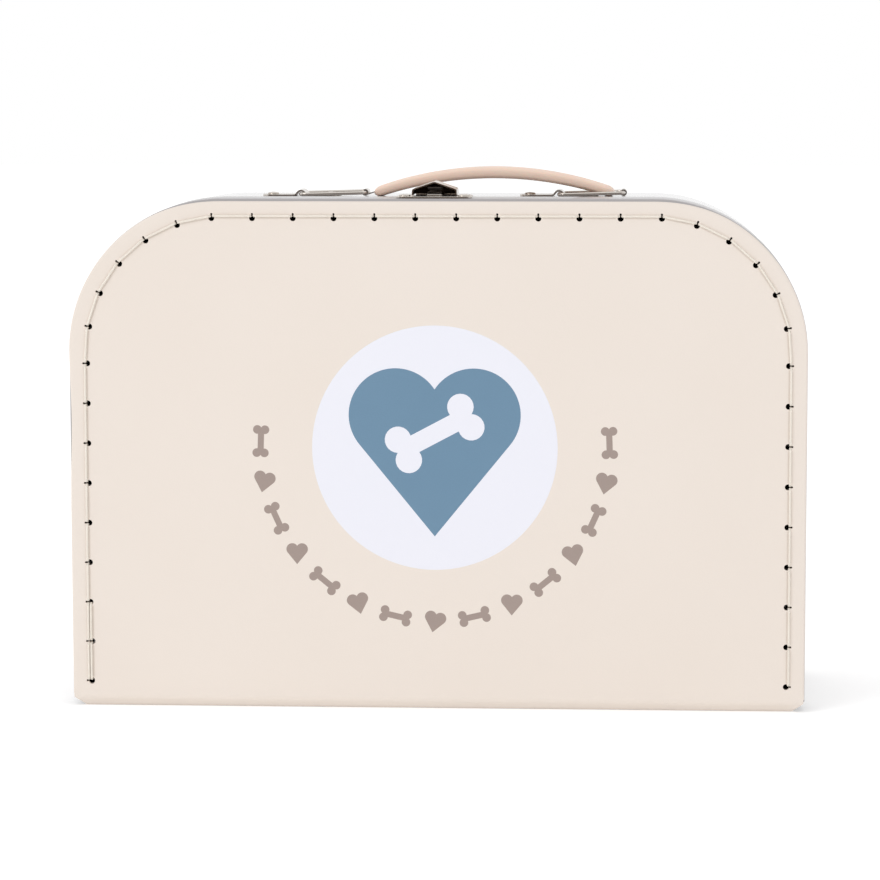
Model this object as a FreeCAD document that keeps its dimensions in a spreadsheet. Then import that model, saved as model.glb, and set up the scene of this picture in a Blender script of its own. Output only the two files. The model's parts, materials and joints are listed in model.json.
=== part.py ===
# Toy vet case of stitched paperboard: a tray with a bent wall, a lid that folds down on a crease
# along its foot, a hinged hasp and a carrying handle that swings on two wire rings.
# Millimetres, +Z up, +X to the right, -Y to the front; the origin is the middle of the underside.
import FreeCAD, Part
import math
import os

import Sketcher

# Driving sizes: lengths in millimetres, angles in degrees, counts, and what each one measures.
SIZES = (
    ("case_width", 300.4, "across the side walls of the lid"),
    ("case_height", 209, "from the underside to the top of the lid wall"),
    ("case_depth", 95, "over the two faces"),
    ("corner_radius", 62.5, "upper corners, outside the lid wall"),
    ("board_thickness", 1.5, "the two faces and the bottom"),
    ("wall_thickness", 1.0, "the bent walls"),
    ("wall_proud", 0.9, "how far a wall stands out past the edge of its face"),
    ("flange_width", 13, "inturned flange that the stitches hold"),
    ("notch_width", 2, "relief cuts in a flange round the corners"),
    ("lid_bend_radius", 1.8, "outside of the folded lid wall"),
    ("bend_radius", 0.8, "outside of the folded base wall"),
    ("bevel_rise", 3.3, "height of the slanted strip along the foot of each face"),
    ("bottom_inset", 6.5, "how much the slanted strip narrows at each end"),
    ("crease_clearance", 0.1, "round the bead that the lid turns on"),
    ("lid_depth", 25, "from the front of the lid to the free edge of its wall"),
    ("lid_lap", 8, "how far the base wall reaches inside the lid"),
    ("lid_clearance", 0.4, "between the two walls"),
    ("lid_foot_gap", 1.0, "from the crease up to the foot of the lid wall"),
    ("tab_length", 25, "glued foot of the base wall"),
    ("stitch_inset", 6.8, "from the edge of a face to the sewing holes"),
    ("hole_draw", 0.9, "how far the pulled thread draws a hole out towards the edge"),
    ("thread_diameter", 1.05, "sewing thread"),
    ("thread_slack", 0.05, "between a thread and its hole"),
    ("thread_parting", 0.4, "between the two threads in one hole"),
    ("side_row_foot", 10.8, "lowest sewing hole above the underside"),
    ("side_row_gap", 4.5, "from the highest hole of a side up to the corner"),
    ("top_row_reach", 3.35, "how far the top row of holes runs past the start of each corner"),
    ("corner_start", 18.5, "angle from upright to the first sewing hole of a corner"),
    ("corner_step", 15.1, "angle between the sewing holes of a corner"),
    ("top_hole_count", 12, "sewing holes along the top"),
    ("side_hole_count", 9, "sewing holes up each side"),
    ("corner_hole_count", 5, "sewing holes round each corner"),
    ("rivet_shank", 3.0, "diameter of a rivet in its hole"),
    ("rivet_head", 4.8, "diameter of a domed head"),
    ("rivet_dome", 0.9, "height of a domed head"),
    ("rivet_tail", 4.4, "diameter of a set tail"),
    ("rivet_tail_height", 0.7, "thickness of a set tail"),
    ("washer_diameter", 7, "backing washer inside the wall"),
    ("washer_thickness", 0.6, "backing washer inside the wall"),
    ("handle_x", -6.05, "middle of the two brackets"),
    ("handle_y", 15, "line of the handle behind the middle of the case"),
    ("bracket_spacing", 108.4, "between the arches of the two brackets"),
    ("bracket_length", 33, "over the two feet"),
    ("bracket_margin", 2, "least flat wall past the feet before a corner begins"),
    ("bracket_width", 13, "along the wire in the arch"),
    ("bracket_thickness", 0.8, "sheet of a bracket"),
    ("bracket_flare", 1.2, "radius where the arch runs into the feet"),
    ("bracket_end_radius", 5.5, "rounded corners of the feet"),
    ("bracket_rivet_spacing", 24.5, "between the rivets of one bracket"),
    ("ring_wire", 1.5, "diameter of the wire"),
    ("ring_length", 27, "between the middles of the two short bars"),
    ("ring_width", 18.4, "between the middles of the two long bars"),
    ("ring_bend", 2.6, "corner radius at the middle of the wire"),
    ("ring_lift", 0.15, "between the wire in the arch and the wall"),
    ("ring_clearance", 0.3, "round the wire in the arch"),
    ("strap_thickness", 0.5, "steel strap inside the grip"),
    ("strap_width", 10, "steel strap inside the grip"),
    ("eye_clearance", 0.15, "round the wire in an eye of the strap"),
    ("eye_lift", 0.2, "between an eye and the wall with the handle down"),
    ("grip_rise", 8.3, "middle of the grip above the eyes"),
    ("grip_middle", 5.0, "thickness of the grip in the middle"),
    ("grip_end", 3.8, "thickness of the grip at its ends"),
    ("grip_gap", 3.8, "from an eye to the end of the grip"),
    ("grip_width", 14.4, "front to back"),
    ("grip_edge", 1.45, "rounded edges of the grip"),
    ("latch_x", -1.3, "middle of the latch"),
    ("pin_setback", 5, "from the free edge of the lid wall to the hinge pin of the hasp"),
    ("pin_diameter", 2, "hinge pin of the hasp"),
    ("pin_clearance", 0.05, "round the hinge pin"),
    ("knuckle_wall", 0.8, "sheet rolled round the hinge pin"),
    ("knuckle_middle", 8, "length of the knuckle of the hasp"),
    ("knuckle_side", 4.4, "length of each knuckle of the hinge plate"),
    ("knuckle_gap", 0.2, "between neighbouring knuckles"),
    ("knuckle_lift", 0.25, "from the wall up to the knuckles"),
    ("hinge_plate_depth", 12, "from the hinge pin to the back edge"),
    ("latch_plate_width", 31, "hinge plate and catch plate"),
    ("latch_plate_thickness", 0.8, "hinge plate and catch plate"),
    ("latch_plate_corner", 3.5, "rounded corners of the two plates"),
    ("latch_rivet_spacing", 24, "between the rivets of one plate"),
    ("hasp_lift", 1.1, "from the lid wall up to the feet of the hasp"),
    ("hasp_width", 18.3, "over the two sides"),
    ("hasp_height", 5.5, "from the feet to the ridge"),
    ("hasp_eaves", 2.2, "height of the upright sides"),
    ("hasp_length", 15, "front to back of the gabled cover"),
    ("hasp_setback", 3.2, "from the back of the cover to the hinge pin"),
    ("hasp_sheet", 0.5, "sheet of the hasp"),
    ("hasp_ridge_radius", 1.5, "rounded ridge"),
    ("catch_margin", 0.8, "from the edge of the base wall to the back of the catch plate"),
    ("catch_depth", 10, "front to back of the catch plate"),
    ("nose_width", 6, "upright nose on the catch plate"),
    ("nose_length", 3, "upright nose on the catch plate"),
    ("nose_height", 1.8, "upright nose on the catch plate"),
    ("nose_setback", 1.0, "from the back of the plate to the nose"),
    ("spring_width", 5.6, "leaf spring in the hasp"),
    ("spring_sheet", 0.4, "leaf spring in the hasp"),
    ("spring_reach", 12.5, "length of the leaf"),
    ("spring_dip", 0.7, "depth of the bend near its tip"),
    ("spring_dip_length", 2.4, "length of each slope of that bend"),
    ("spring_tab", 2.2, "height of the tab on the back of the hasp"),
    ("spring_clearance", 0.6, "from the nose up to the bend of the spring"),
    ("overrun", 1, "how far every cut runs past the material"),
)
# Share of the hinge plate from its pin to its rivets.
HINGE_RIVET_SHARE = 2 / 3
# Shares of the nose: how high its front stands, and how long its slope is.
NOSE_FRONT_SHARE = 0.35
NOSE_SLOPE_SHARE = 0.6
# Share of a corner step that puts a relief cut half way between two sewing holes.
NOTCH_STEP_SHARE = 0.5
# Directions on the sheet of a sketch, and the numbers of its own origin and axes.
ORIGIN_POINT = (-1, 1)
ACROSS_AXIS = -1
UPWARD_AXIS = -2
# A quarter turn in degrees.
QUARTER_TURN = 90
# Two points closer than this share of a millimetre are taken as one when edges are looked up.
MATCH_SHARE = 1e-4

X_AXIS = FreeCAD.Vector(1, 0, 0)
Y_AXIS = FreeCAD.Vector(0, 1, 0)
Z_AXIS = FreeCAD.Vector(0, 0, 1)


class Size:
    """A number together with the spreadsheet expression that gives it."""

    def __init__(self, text, value):
        self.text = text
        self.value = value

    def combine(self, sign, other, value):
        return Size(f"({self.text} {sign} {other.text})", value)

    def __add__(self, other):
        other = as_size(other)
        return self.combine("+", other, self.value + other.value)

    def __radd__(self, other):
        return as_size(other) + self

    def __sub__(self, other):
        other = as_size(other)
        return self.combine("-", other, self.value - other.value)

    def __rsub__(self, other):
        return as_size(other) - self

    def __mul__(self, other):
        other = as_size(other)
        return self.combine("*", other, self.value * other.value)

    def __rmul__(self, other):
        return as_size(other) * self

    def __truediv__(self, other):
        other = as_size(other)
        return self.combine("/", other, self.value / other.value)

    def __neg__(self):
        return 0 - self

    def root(self):
        return Size(f"sqrt({self.text})", math.sqrt(self.value))


def as_size(item):
    if isinstance(item, Size):
        return item
    return Size(repr(item), item)


def number(item):
    return as_size(item).value


def arc_sine(share):
    return Size(f"asin({share.text})", math.degrees(math.asin(share.value)))


def least(first, second):
    return Size(f"min({first.text}; {second.text})", min(first.value, second.value))


def without_sign(item):
    return Size(f"abs({item.text})", abs(item.value))


def arch_radius(half_chord, sagitta):
    """Radius of an arc from half its chord and its height."""
    return (half_chord * half_chord + sagitta * sagitta) / (2 * sagitta)


# The document, its sheet of sizes and the lists that are checked at the end.
doc = FreeCAD.newDocument("toy_vet_case")
sheet = doc.addObject("Spreadsheet::Sheet", "sizes")
for row, (alias, value, note) in enumerate(SIZES, start=1):
    sheet.set(f"A{row}", alias)
    sheet.set(f"B{row}", str(value))
    sheet.setAlias(f"B{row}", alias)
    sheet.set(f"C{row}", note)
doc.recompute()
subparts = []
cuts = []


def size(alias):
    return Size(f"sizes.{alias}", float(sheet.get(alias)))


def bind(item, target, amount):
    item.setExpression(target, as_size(amount).text)


def place(item, x=0, y=0, z=0):
    """Puts an object at a point that follows the sheet."""
    for axis, amount in zip("xyz", (x, y, z)):
        if isinstance(amount, Size):
            bind(item, f"Placement.Base.{axis}", amount)


# Sketches
def new_body(name):
    body = doc.addObject("PartDesign::Body", name)
    body.Label = name
    subparts.append(body)
    return body


def origin_feature(body, role):
    return next(item for item in body.Origin.OriginFeatures if item.Role == role)


def new_sketch(body, name, role, lift=0, x=0, y=0, turn=0):
    """A sketch on an origin plane, lifted along its normal, shifted in it and turned about it."""
    sketch = body.newObject("Sketcher::SketchObject", f"{body.Name}_{name}")
    sketch.AttachmentSupport = [(origin_feature(body, role), "")]
    sketch.MapMode = "FlatFace"
    sketch.AttachmentOffset = FreeCAD.Placement(FreeCAD.Vector(), FreeCAD.Rotation(Z_AXIS, number(turn)))
    for target, amount in (("Base.x", x), ("Base.y", y), ("Base.z", lift), ("Rotation.Angle", turn)):
        if isinstance(amount, Size):
            bind(sketch, f"AttachmentOffset.{target}", amount)
    return sketch


def hold(sketch, element, point, x, y):
    """Ties one point of a sketch to the sizes that place it."""
    for kind, axis, amount in (("DistanceX", UPWARD_AXIS, x), ("DistanceY", ACROSS_AXIS, y)):
        if isinstance(amount, Size):
            rule = Sketcher.Constraint(kind, *ORIGIN_POINT, element, point, amount.value)
            bind(sketch, f"Constraints[{sketch.addConstraint(rule)}]", amount)
        else:
            sketch.addConstraint(Sketcher.Constraint("PointOnObject", element, point, axis))


def hold_radius(sketch, element, radius):
    rule = Sketcher.Constraint("Radius", element, radius.value)
    bind(sketch, f"Constraints[{sketch.addConstraint(rule)}]", radius)


def arc_between(start, end, radius, side):
    """An arc of under half a turn whose centre lies left (1) or right (-1) of the way from start to end."""
    chord = end - start
    across = FreeCAD.Vector(-chord.y, chord.x, 0).normalize() * side
    middle = start + chord * 0.5
    away = math.sqrt(radius * radius - chord.Length * chord.Length / 4)
    crown = middle + across * (away - radius)
    return Part.Arc(start, crown, end)


def draw_outline(sketch, points):
    """A closed outline. Each point is x, y and, where an arc leaves it, the radius and the centre's side."""
    places = [FreeCAD.Vector(number(point[0]), number(point[1]), 0) for point in points]
    sides = []
    for point, start, end in zip(points, places, places[1:] + places[:1]):
        curved = len(point) > 2
        if curved:
            element = sketch.addGeometry(arc_between(start, end, point[2].value, point[3]))
        else:
            element = sketch.addGeometry(Part.LineSegment(start, end))
        # An arc that runs clockwise is stored the other way round, so its ends change places.
        ends = (2, 1) if curved and point[3] < 0 else (1, 2)
        sides.append((element, *ends))
    for (element, first, last), (following, start, end) in zip(sides, sides[1:] + sides[:1]):
        sketch.addConstraint(Sketcher.Constraint("Coincident", element, last, following, start))
    for point, (element, first, last) in zip(points, sides):
        hold(sketch, element, first, point[0], point[1])
        if len(point) > 2:
            hold_radius(sketch, element, point[2])


def draw_circle(sketch, x, y, radius):
    centre = FreeCAD.Vector(number(x), number(y), 0)
    element = sketch.addGeometry(Part.Circle(centre, Z_AXIS, radius.value))
    hold(sketch, element, 3, x, y)
    hold_radius(sketch, element, radius)


def draw_rectangle(sketch, left, right, low, high):
    draw_outline(sketch, [(left, low), (right, low), (right, high), (left, high)])


# Features
def add_feature(body, kind, name, sketch, length, turned, both):
    feature = body.newObject(kind, f"{body.Name}_{name}")
    feature.Profile = sketch
    bind(feature, "Length", length)
    feature.Reversed = turned
    if both:
        feature.SideType = "Symmetric"
    return feature


def pad(body, name, sketch, length, turned=False, both=False):
    return add_feature(body, "PartDesign::Pad", name, sketch, length, turned, both)


def cut(body, name, sketch, length, turned=False, both=False):
    feature = add_feature(body, "PartDesign::Pocket", name, sketch, length, turned, both)
    cuts.append(feature)
    return feature


def repeat_along(body, feature, role, length, count):
    pattern = body.newObject("PartDesign::LinearPattern", f"{feature.Name}_row")
    pattern.Originals = [feature]
    pattern.Direction = (origin_feature(body, role), [""])
    bind(pattern, "Length", length)
    bind(pattern, "Occurrences", count)
    body.Tip = pattern
    cuts.append(pattern)


def repeat_round(body, feature, sketch, step, count, clockwise):
    pattern = body.newObject("PartDesign::PolarPattern", f"{feature.Name}_fan")
    pattern.Originals = [feature]
    pattern.Axis = (sketch, ["N_Axis"])
    pattern.Reversed = clockwise
    bind(pattern, "Angle", step * (count - 1))
    bind(pattern, "Occurrences", count)
    body.Tip = pattern
    cuts.append(pattern)


def round_edges(body, name, radius, wanted, upright=False):
    """Rounds every edge whose end points all pass the test, or only those that stand upright."""
    doc.recompute()
    base = body.Tip
    names = []
    for index, edge in enumerate(base.Shape.Edges, start=1):
        ends = [vertex.Point for vertex in edge.Vertexes]
        stands = near(ends[0].x, ends[-1].x) and near(ends[0].y, ends[-1].y)
        if all(wanted(point) for point in ends) and (stands or not upright):
            names.append(f"Edge{index}")
    fillet = body.newObject("PartDesign::Fillet", f"{body.Name}_{name}")
    fillet.Base = (base, names)
    bind(fillet, "Radius", radius)
    body.Tip = fillet


def near(found, wanted):
    return abs(found - number(wanted)) < MATCH_SHARE


# Places that several pieces share
overrun = size("overrun")
board = size("board_thickness")
wall = size("wall_thickness")
half_width = size("case_width") / 2
case_height = size("case_height")
bracket_reach = without_sign(size("handle_x")) + (size("bracket_spacing") + size("bracket_length")) / 2
corner_room = half_width - bracket_reach - size("bracket_margin")
corner_radius = least(size("corner_radius"), corner_room)
corner_x = half_width - corner_radius
corner_z = case_height - corner_radius
front_y = -(size("case_depth") / 2)
back_y = size("case_depth") / 2
bevel_rise = size("bevel_rise")
crease_y = front_y + board / 2
crease_z = bevel_rise
lid_foot = crease_z + size("lid_foot_gap")
lid_edge_y = front_y + size("lid_depth")
base_edge_y = lid_edge_y - size("lid_lap")
lid_face_inset = size("wall_proud")
base_inset = wall + size("lid_clearance")
base_face_inset = base_inset + size("wall_proud")
flange_width = size("flange_width")
lid_top = case_height
base_top = case_height - base_inset
strip_lean = board * math.sqrt(2)
strip_corner = strip_lean - board
foot_front = front_y + bevel_rise
foot_back = back_y - bevel_rise
thread_radius = size("thread_diameter") / 2
thread_slack = size("thread_slack")
hole_half = size("thread_diameter") + thread_slack + size("thread_parting") / 2
stitch_depth = (board + wall) / 2 - thread_slack
corner_start = size("corner_start")
corner_step = size("corner_step")
top_row_half = corner_x + size("top_row_reach")
rivet_radius = size("rivet_shank") / 2


def arch_sketch(body, name, inset, foot, y):
    """The outline of the case, drawn in by inset, upright at y and open to no side."""
    sketch = new_sketch(body, name, "XZ_Plane", lift=-y)
    half = half_width - inset
    top = case_height - inset
    radius = corner_radius - inset
    draw_outline(sketch, [
        (-half, foot),
        (half, foot),
        (half, corner_z, radius, 1),
        (corner_x, top),
        (-corner_x, top, radius, 1),
        (-half, corner_z),
    ])
    return sketch


def slot_sketch(body, name, x, z, lift, turn, reach):
    """A sewing hole that stands out from reach towards the edge of the face."""
    sketch = new_sketch(body, name, "XZ_Plane", lift=lift, x=x, y=z, turn=turn)
    far = reach + size("hole_draw")
    draw_outline(sketch, [
        (hole_half, reach),
        (hole_half, far, hole_half, 1),
        (0, far + hole_half, hole_half, 1),
        (-hole_half, far),
        (-hole_half, reach, hole_half, 1),
        (0, reach - hole_half, hole_half, 1),
    ])
    return sketch


def cut_sewing_holes(body, inset, layer_y, depth):
    """The whole row of sewing holes through one layer, up the left side, over the top and down."""
    line = inset + size("stitch_inset")
    lift = overrun - layer_y
    through = depth + overrun * 2
    sketch = slot_sketch(body, "top_hole", -top_row_half, case_height - line, lift, 0, 0)
    hole = cut(body, "top_hole_cut", sketch, through)
    repeat_along(body, hole, "X_Axis", top_row_half * 2, size("top_hole_count"))
    for name, side in (("left", -1), ("right", 1)):
        sketch = slot_sketch(body, f"{name}_hole", (half_width - line) * side, size("side_row_foot"), lift,
                             as_size(-QUARTER_TURN * side), 0)
        hole = cut(body, f"{name}_hole_cut", sketch, through)
        row_length = corner_z - size("side_row_gap") - size("side_row_foot")
        repeat_along(body, hole, "Z_Axis", row_length, size("side_hole_count"))
        sketch = slot_sketch(body, f"{name}_corner_hole", corner_x * side, corner_z, lift,
                             corner_start * -side, corner_radius - line)
        hole = cut(body, f"{name}_corner_hole_cut", sketch, through)
        repeat_round(body, hole, sketch, corner_step, size("corner_hole_count"), side > 0)


def cut_notches(body, inset, layer_y):
    """Relief cuts that let the flange turn the two corners."""
    inner = corner_radius - inset - flange_width
    outer = corner_radius - inset - wall
    for name, side in (("left", -1), ("right", 1)):
        sketch = new_sketch(body, f"{name}_notch", "XZ_Plane", lift=overrun - layer_y, x=corner_x * side,
                            y=corner_z, turn=(corner_start - corner_step * NOTCH_STEP_SHARE) * -side)
        draw_rectangle(sketch, -(size("notch_width") / 2), size("notch_width") / 2, inner - overrun, outer)
        notch = cut(body, f"{name}_notch_cut", sketch, wall + overrun)
        repeat_round(body, notch, sketch, corner_step, size("corner_hole_count"), side > 0)


def cut_rivet_holes(body, name, top, depth, places):
    """Round holes for rivets, down through a layer whose upper face is at top."""
    sketch = new_sketch(body, name, "XY_Plane", lift=top + overrun)
    for x, y in places:
        draw_circle(sketch, x, y, rivet_radius)
    cut(body, f"{name}_cut", sketch, depth + overrun * 2)


# Rivet places on the case
handle_x = size("handle_x")
handle_y = size("handle_y")
latch_x = size("latch_x")
bracket_places = [handle_x + size("bracket_spacing") / 2 * side for side in (-1, 1)]
bracket_rivets = [(x + size("bracket_rivet_spacing") / 2 * side, handle_y)
                  for x in bracket_places for side in (-1, 1)]
pin_y = lid_edge_y + size("pin_setback")
hinge_rivet_y = pin_y + size("hinge_plate_depth") * HINGE_RIVET_SHARE
hinge_rivets = [(latch_x + size("latch_rivet_spacing") / 2 * side, hinge_rivet_y) for side in (-1, 1)]
catch_back = base_edge_y - size("catch_margin")
catch_front = catch_back - size("catch_depth")
catch_y = (catch_front + catch_back) / 2
catch_rivets = [(latch_x + size("latch_rivet_spacing") / 2 * side, catch_y) for side in (-1, 1)]


# Lid: face and wall
def make_lid_panel():
    body = new_body("lid_panel")
    pad(body, "face", arch_sketch(body, "outline", lid_face_inset, crease_z, front_y), board, turned=True)
    bead = new_sketch(body, "bead", "YZ_Plane")
    draw_circle(bead, crease_y, crease_z, board / 2)
    pad(body, "bead_pad", bead, (half_width - lid_face_inset) * 2, both=True)
    cut_sewing_holes(body, lid_face_inset, front_y, board)


def on_outline(point, inset):
    """True on the straight sides and top of the outline drawn in by inset."""
    return near(abs(point.x), half_width - inset) or near(point.z, case_height - inset)


def make_lid_wall():
    body = new_body("lid_wall")
    start = front_y + board
    depth = size("lid_depth") - board
    pad(body, "shell", arch_sketch(body, "outline", as_size(0), lid_foot, start), depth, turned=True)
    hollow = arch_sketch(body, "hollow", wall, lid_foot - overrun, start + wall)
    cut(body, "hollow_cut", hollow, depth - wall + overrun)
    window = arch_sketch(body, "window", flange_width, lid_foot - overrun, start - overrun)
    cut(body, "window_cut", window, wall + overrun * 2)
    round_edges(body, "bend", size("lid_bend_radius"),
                lambda point: near(point.y, start) and on_outline(point, 0))
    cut_notches(body, 0, start)
    cut_sewing_holes(body, lid_face_inset, start, wall)
    cut_rivet_holes(body, "catch_hole", lid_top, wall, catch_rivets)


# Base: folded board and wall
def make_base_board():
    body = new_body("base_board")
    bottom = new_sketch(body, "bottom", "YZ_Plane")
    draw_outline(bottom, [
        (foot_front, 0),
        (foot_back, 0),
        (back_y, bevel_rise),
        (back_y - strip_lean, bevel_rise),
        (foot_back - strip_corner, board),
        (foot_front + strip_corner, board),
    ])
    pad(body, "bottom_pad", bottom, (half_width - base_face_inset) * 2, both=True)
    strip = new_sketch(body, "strip", "YZ_Plane")
    draw_outline(strip, [
        (front_y, bevel_rise),
        (foot_front, 0),
        (foot_front + strip_corner, board),
        (front_y + strip_lean, bevel_rise),
    ])
    pad(body, "strip_pad", strip, (half_width - lid_face_inset) * 2, both=True)
    face = arch_sketch(body, "outline", base_face_inset, bevel_rise, back_y - board)
    pad(body, "face", face, board, turned=True)
    outer = half_width - lid_face_inset
    corners = new_sketch(body, "corners", "XZ_Plane", lift=back_y + overrun)
    slope = size("bottom_inset") / bevel_rise
    for side in (-1, 1):
        draw_outline(corners, [
            (outer * side, bevel_rise),
            ((outer - size("bottom_inset") - slope * overrun) * side, -overrun),
            ((outer + overrun) * side, -overrun),
            ((outer + overrun) * side, bevel_rise),
        ])
    cut(body, "corners_cut", corners, size("case_depth") + overrun * 2)
    groove = new_sketch(body, "groove", "YZ_Plane")
    draw_circle(groove, crease_y, crease_z, board / 2 + size("crease_clearance"))
    cut(body, "groove_cut", groove, (half_width + overrun) * 2, both=True)
    cut_sewing_holes(body, base_face_inset, back_y - board, board)


def make_base_wall():
    body = new_body("base_wall")
    end = back_y - board
    depth = end - base_edge_y
    foot = board
    pad(body, "shell", arch_sketch(body, "outline", base_inset, foot, base_edge_y), depth, turned=True)
    hollow = arch_sketch(body, "hollow", base_inset + wall, foot + wall, base_edge_y - overrun)
    cut(body, "hollow_cut", hollow, depth - wall + overrun)
    window = arch_sketch(body, "window", base_inset + flange_width, foot + wall, end - wall - overrun)
    cut(body, "window_cut", window, wall + overrun * 2)
    floor = new_sketch(body, "floor", "XY_Plane", lift=foot - overrun)
    reach = half_width - base_inset - size("tab_length")
    draw_rectangle(floor, -reach, reach, base_edge_y - overrun, end + overrun)
    cut(body, "floor_cut", floor, wall + overrun * 2, turned=True)
    slant = new_sketch(body, "slant", "YZ_Plane")
    slant_y = foot_back - strip_corner - overrun
    draw_outline(slant, [
        (slant_y, foot - overrun),
        (end + overrun, foot - overrun),
        (end + overrun, bevel_rise),
        (back_y - strip_lean, bevel_rise),
    ])
    cut(body, "slant_cut", slant, (half_width + overrun) * 2, both=True)
    half = half_width - base_inset
    round_edges(body, "fold", size("bend_radius"),
                lambda point: near(point.z, foot) and near(abs(point.x), half))
    round_edges(body, "bend", size("bend_radius"),
                lambda point: near(point.y, end) and on_outline(point, base_inset))
    cut_notches(body, base_inset, end - wall)
    cut_sewing_holes(body, base_face_inset, end - wall, wall)
    cut_rivet_holes(body, "bracket_hole", base_top, wall, bracket_rivets)
    cut_rivet_holes(body, "hinge_hole", base_top, wall, hinge_rivets)


# Stitching
def sewing_places(inset):
    """The middle of the thread at each hole, from the foot of the left side round to the right."""
    line = number(inset + size("stitch_inset") - size("hole_draw"))
    side = number(half_width) - line
    radius = number(corner_radius) - line
    foot = number(size("side_row_foot"))
    row_top = number(corner_z - size("side_row_gap"))
    side_count = int(number(size("side_hole_count")))
    top_count = int(number(size("top_hole_count")))
    heights = [foot + (row_top - foot) * step / (side_count - 1) for step in range(side_count)]
    left = [(-side, height) for height in heights]
    for step in reversed(range(int(number(size("corner_hole_count"))))):
        angle = math.radians(number(corner_start + corner_step * step))
        across = number(corner_x) + radius * math.sin(angle)
        left.append((-across, number(corner_z) + radius * math.cos(angle)))
    span = 2 * number(top_row_half)
    top_z = number(case_height) - line
    top = [(span * step / (top_count - 1) - span / 2, top_z) for step in range(top_count)]
    right = [(-x, z) for x, z in reversed(left)]
    return left + top + right


def make_stitch(start, end, outward):
    """One stitch: a leg up through a hole, a run along the face and a leg down the next hole."""
    along = (end - start).normalize()
    radius = number(thread_radius)
    bend = number(thread_radius + thread_slack)
    leg = number(hole_half) - bend
    depth = outward * -number(stitch_depth)
    shoulder = outward * (radius - bend)
    crown = outward * radius
    quarter = math.sqrt(0.5)
    edges = []
    arcs = []
    for point, way in ((start, along), (end, along * -1)):
        low = point + way * leg + depth
        high = point + way * leg + shoulder
        middle = point + way * (leg + bend - bend * quarter) + outward * (radius - bend + bend * quarter)
        over = point + way * (leg + bend) + crown
        arcs.append((low, high, middle, over))
    (low, high, middle, over), (low_end, high_end, middle_end, over_end) = arcs
    edges.append(Part.LineSegment(low, high).toShape())
    edges.append(Part.Arc(high, middle, over).toShape())
    edges.append(Part.LineSegment(over, over_end).toShape())
    edges.append(Part.Arc(over_end, middle_end, high_end).toShape())
    edges.append(Part.LineSegment(high_end, low_end).toShape())
    section = Part.Face(Part.Wire(Part.makeCircle(radius, low, outward)))
    return Part.Wire(edges).makePipe(section)


def make_thread(name, inset, face_y, side):
    """A row of stitches on the face at face_y, whose outside looks along side times Y."""
    y = number(face_y)
    points = [FreeCAD.Vector(x, y, z) for x, z in sewing_places(inset)]
    stitches = [make_stitch(start, end, Y_AXIS * side) for start, end in zip(points, points[1:])]
    thread = doc.addObject("Part::Feature", name)
    thread.Label = name
    thread.Shape = Part.Compound(stitches)
    subparts.append(thread)


# Rivets and washers, as groups of like solids
def make_group(name, solids):
    group = doc.addObject("Part::Compound", name)
    group.Label = name
    group.Links = solids
    subparts.append(group)


def make_disc(name, radius, height, x, y, z):
    disc = doc.addObject("Part::Cylinder", name)
    bind(disc, "Radius", radius)
    bind(disc, "Height", height)
    place(disc, x, y, z)
    return disc


def make_rivet(name, x, y, seat, grip):
    """A domed rivet whose head sits at seat and whose tail is set below the layers that it grips."""
    head = size("rivet_head") / 2
    dome = size("rivet_dome")
    ball = arch_radius(head, dome)
    cap = doc.addObject("Part::Sphere", f"{name}_cap")
    bind(cap, "Radius", ball)
    bind(cap, "Angle1", arc_sine((ball - dome) / ball))
    cap.Angle2 = QUARTER_TURN
    place(cap, x, y, seat + dome - ball)
    shank = make_disc(f"{name}_shank", rivet_radius, grip, x, y, seat - grip)
    tail = make_disc(f"{name}_tail", size("rivet_tail") / 2, size("rivet_tail_height"), x, y,
                     seat - grip - size("rivet_tail_height"))
    rivet = doc.addObject("Part::MultiFuse", name)
    rivet.Shapes = [cap, shank, tail]
    return rivet


def make_rivets(name, places, top, sheet_metal):
    """Rivets through a metal sheet, the wall under it and a washer; the washers are a group of their own."""
    grip = sheet_metal + wall + size("washer_thickness")
    rivets = []
    washers = []
    for index, (x, y) in enumerate(places, start=1):
        rivets.append(make_rivet(f"{name}_rivet_{index}", x, y, top + sheet_metal, grip))
        low = top - wall - size("washer_thickness")
        disc = make_disc(f"{name}_disc_{index}", size("washer_diameter") / 2, size("washer_thickness"),
                         x, y, low)
        bore = make_disc(f"{name}_bore_{index}", rivet_radius, size("washer_thickness") + overrun * 2, x, y,
                         low - overrun)
        washer = doc.addObject("Part::Cut", f"{name}_washer_{index}")
        washer.Base = disc
        washer.Tool = bore
        washers.append(washer)
    make_group(f"{name}_rivets", rivets)
    make_group(f"{name}_washers", washers)


# Handle: brackets, rings, strap and grip
ring_radius = size("ring_wire") / 2
ring_axis = ring_radius + size("ring_lift")
eye_bore = ring_radius + size("eye_clearance")
eye_radius = eye_bore + size("strap_thickness")
ring_length = size("ring_length")
ring_climb = eye_radius + size("eye_lift") - ring_axis
ring_run = (ring_length * ring_length - ring_climb * ring_climb).root()
ring_tilt = arc_sine(-(ring_climb / ring_length))
eye_x = size("bracket_spacing") / 2


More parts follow.
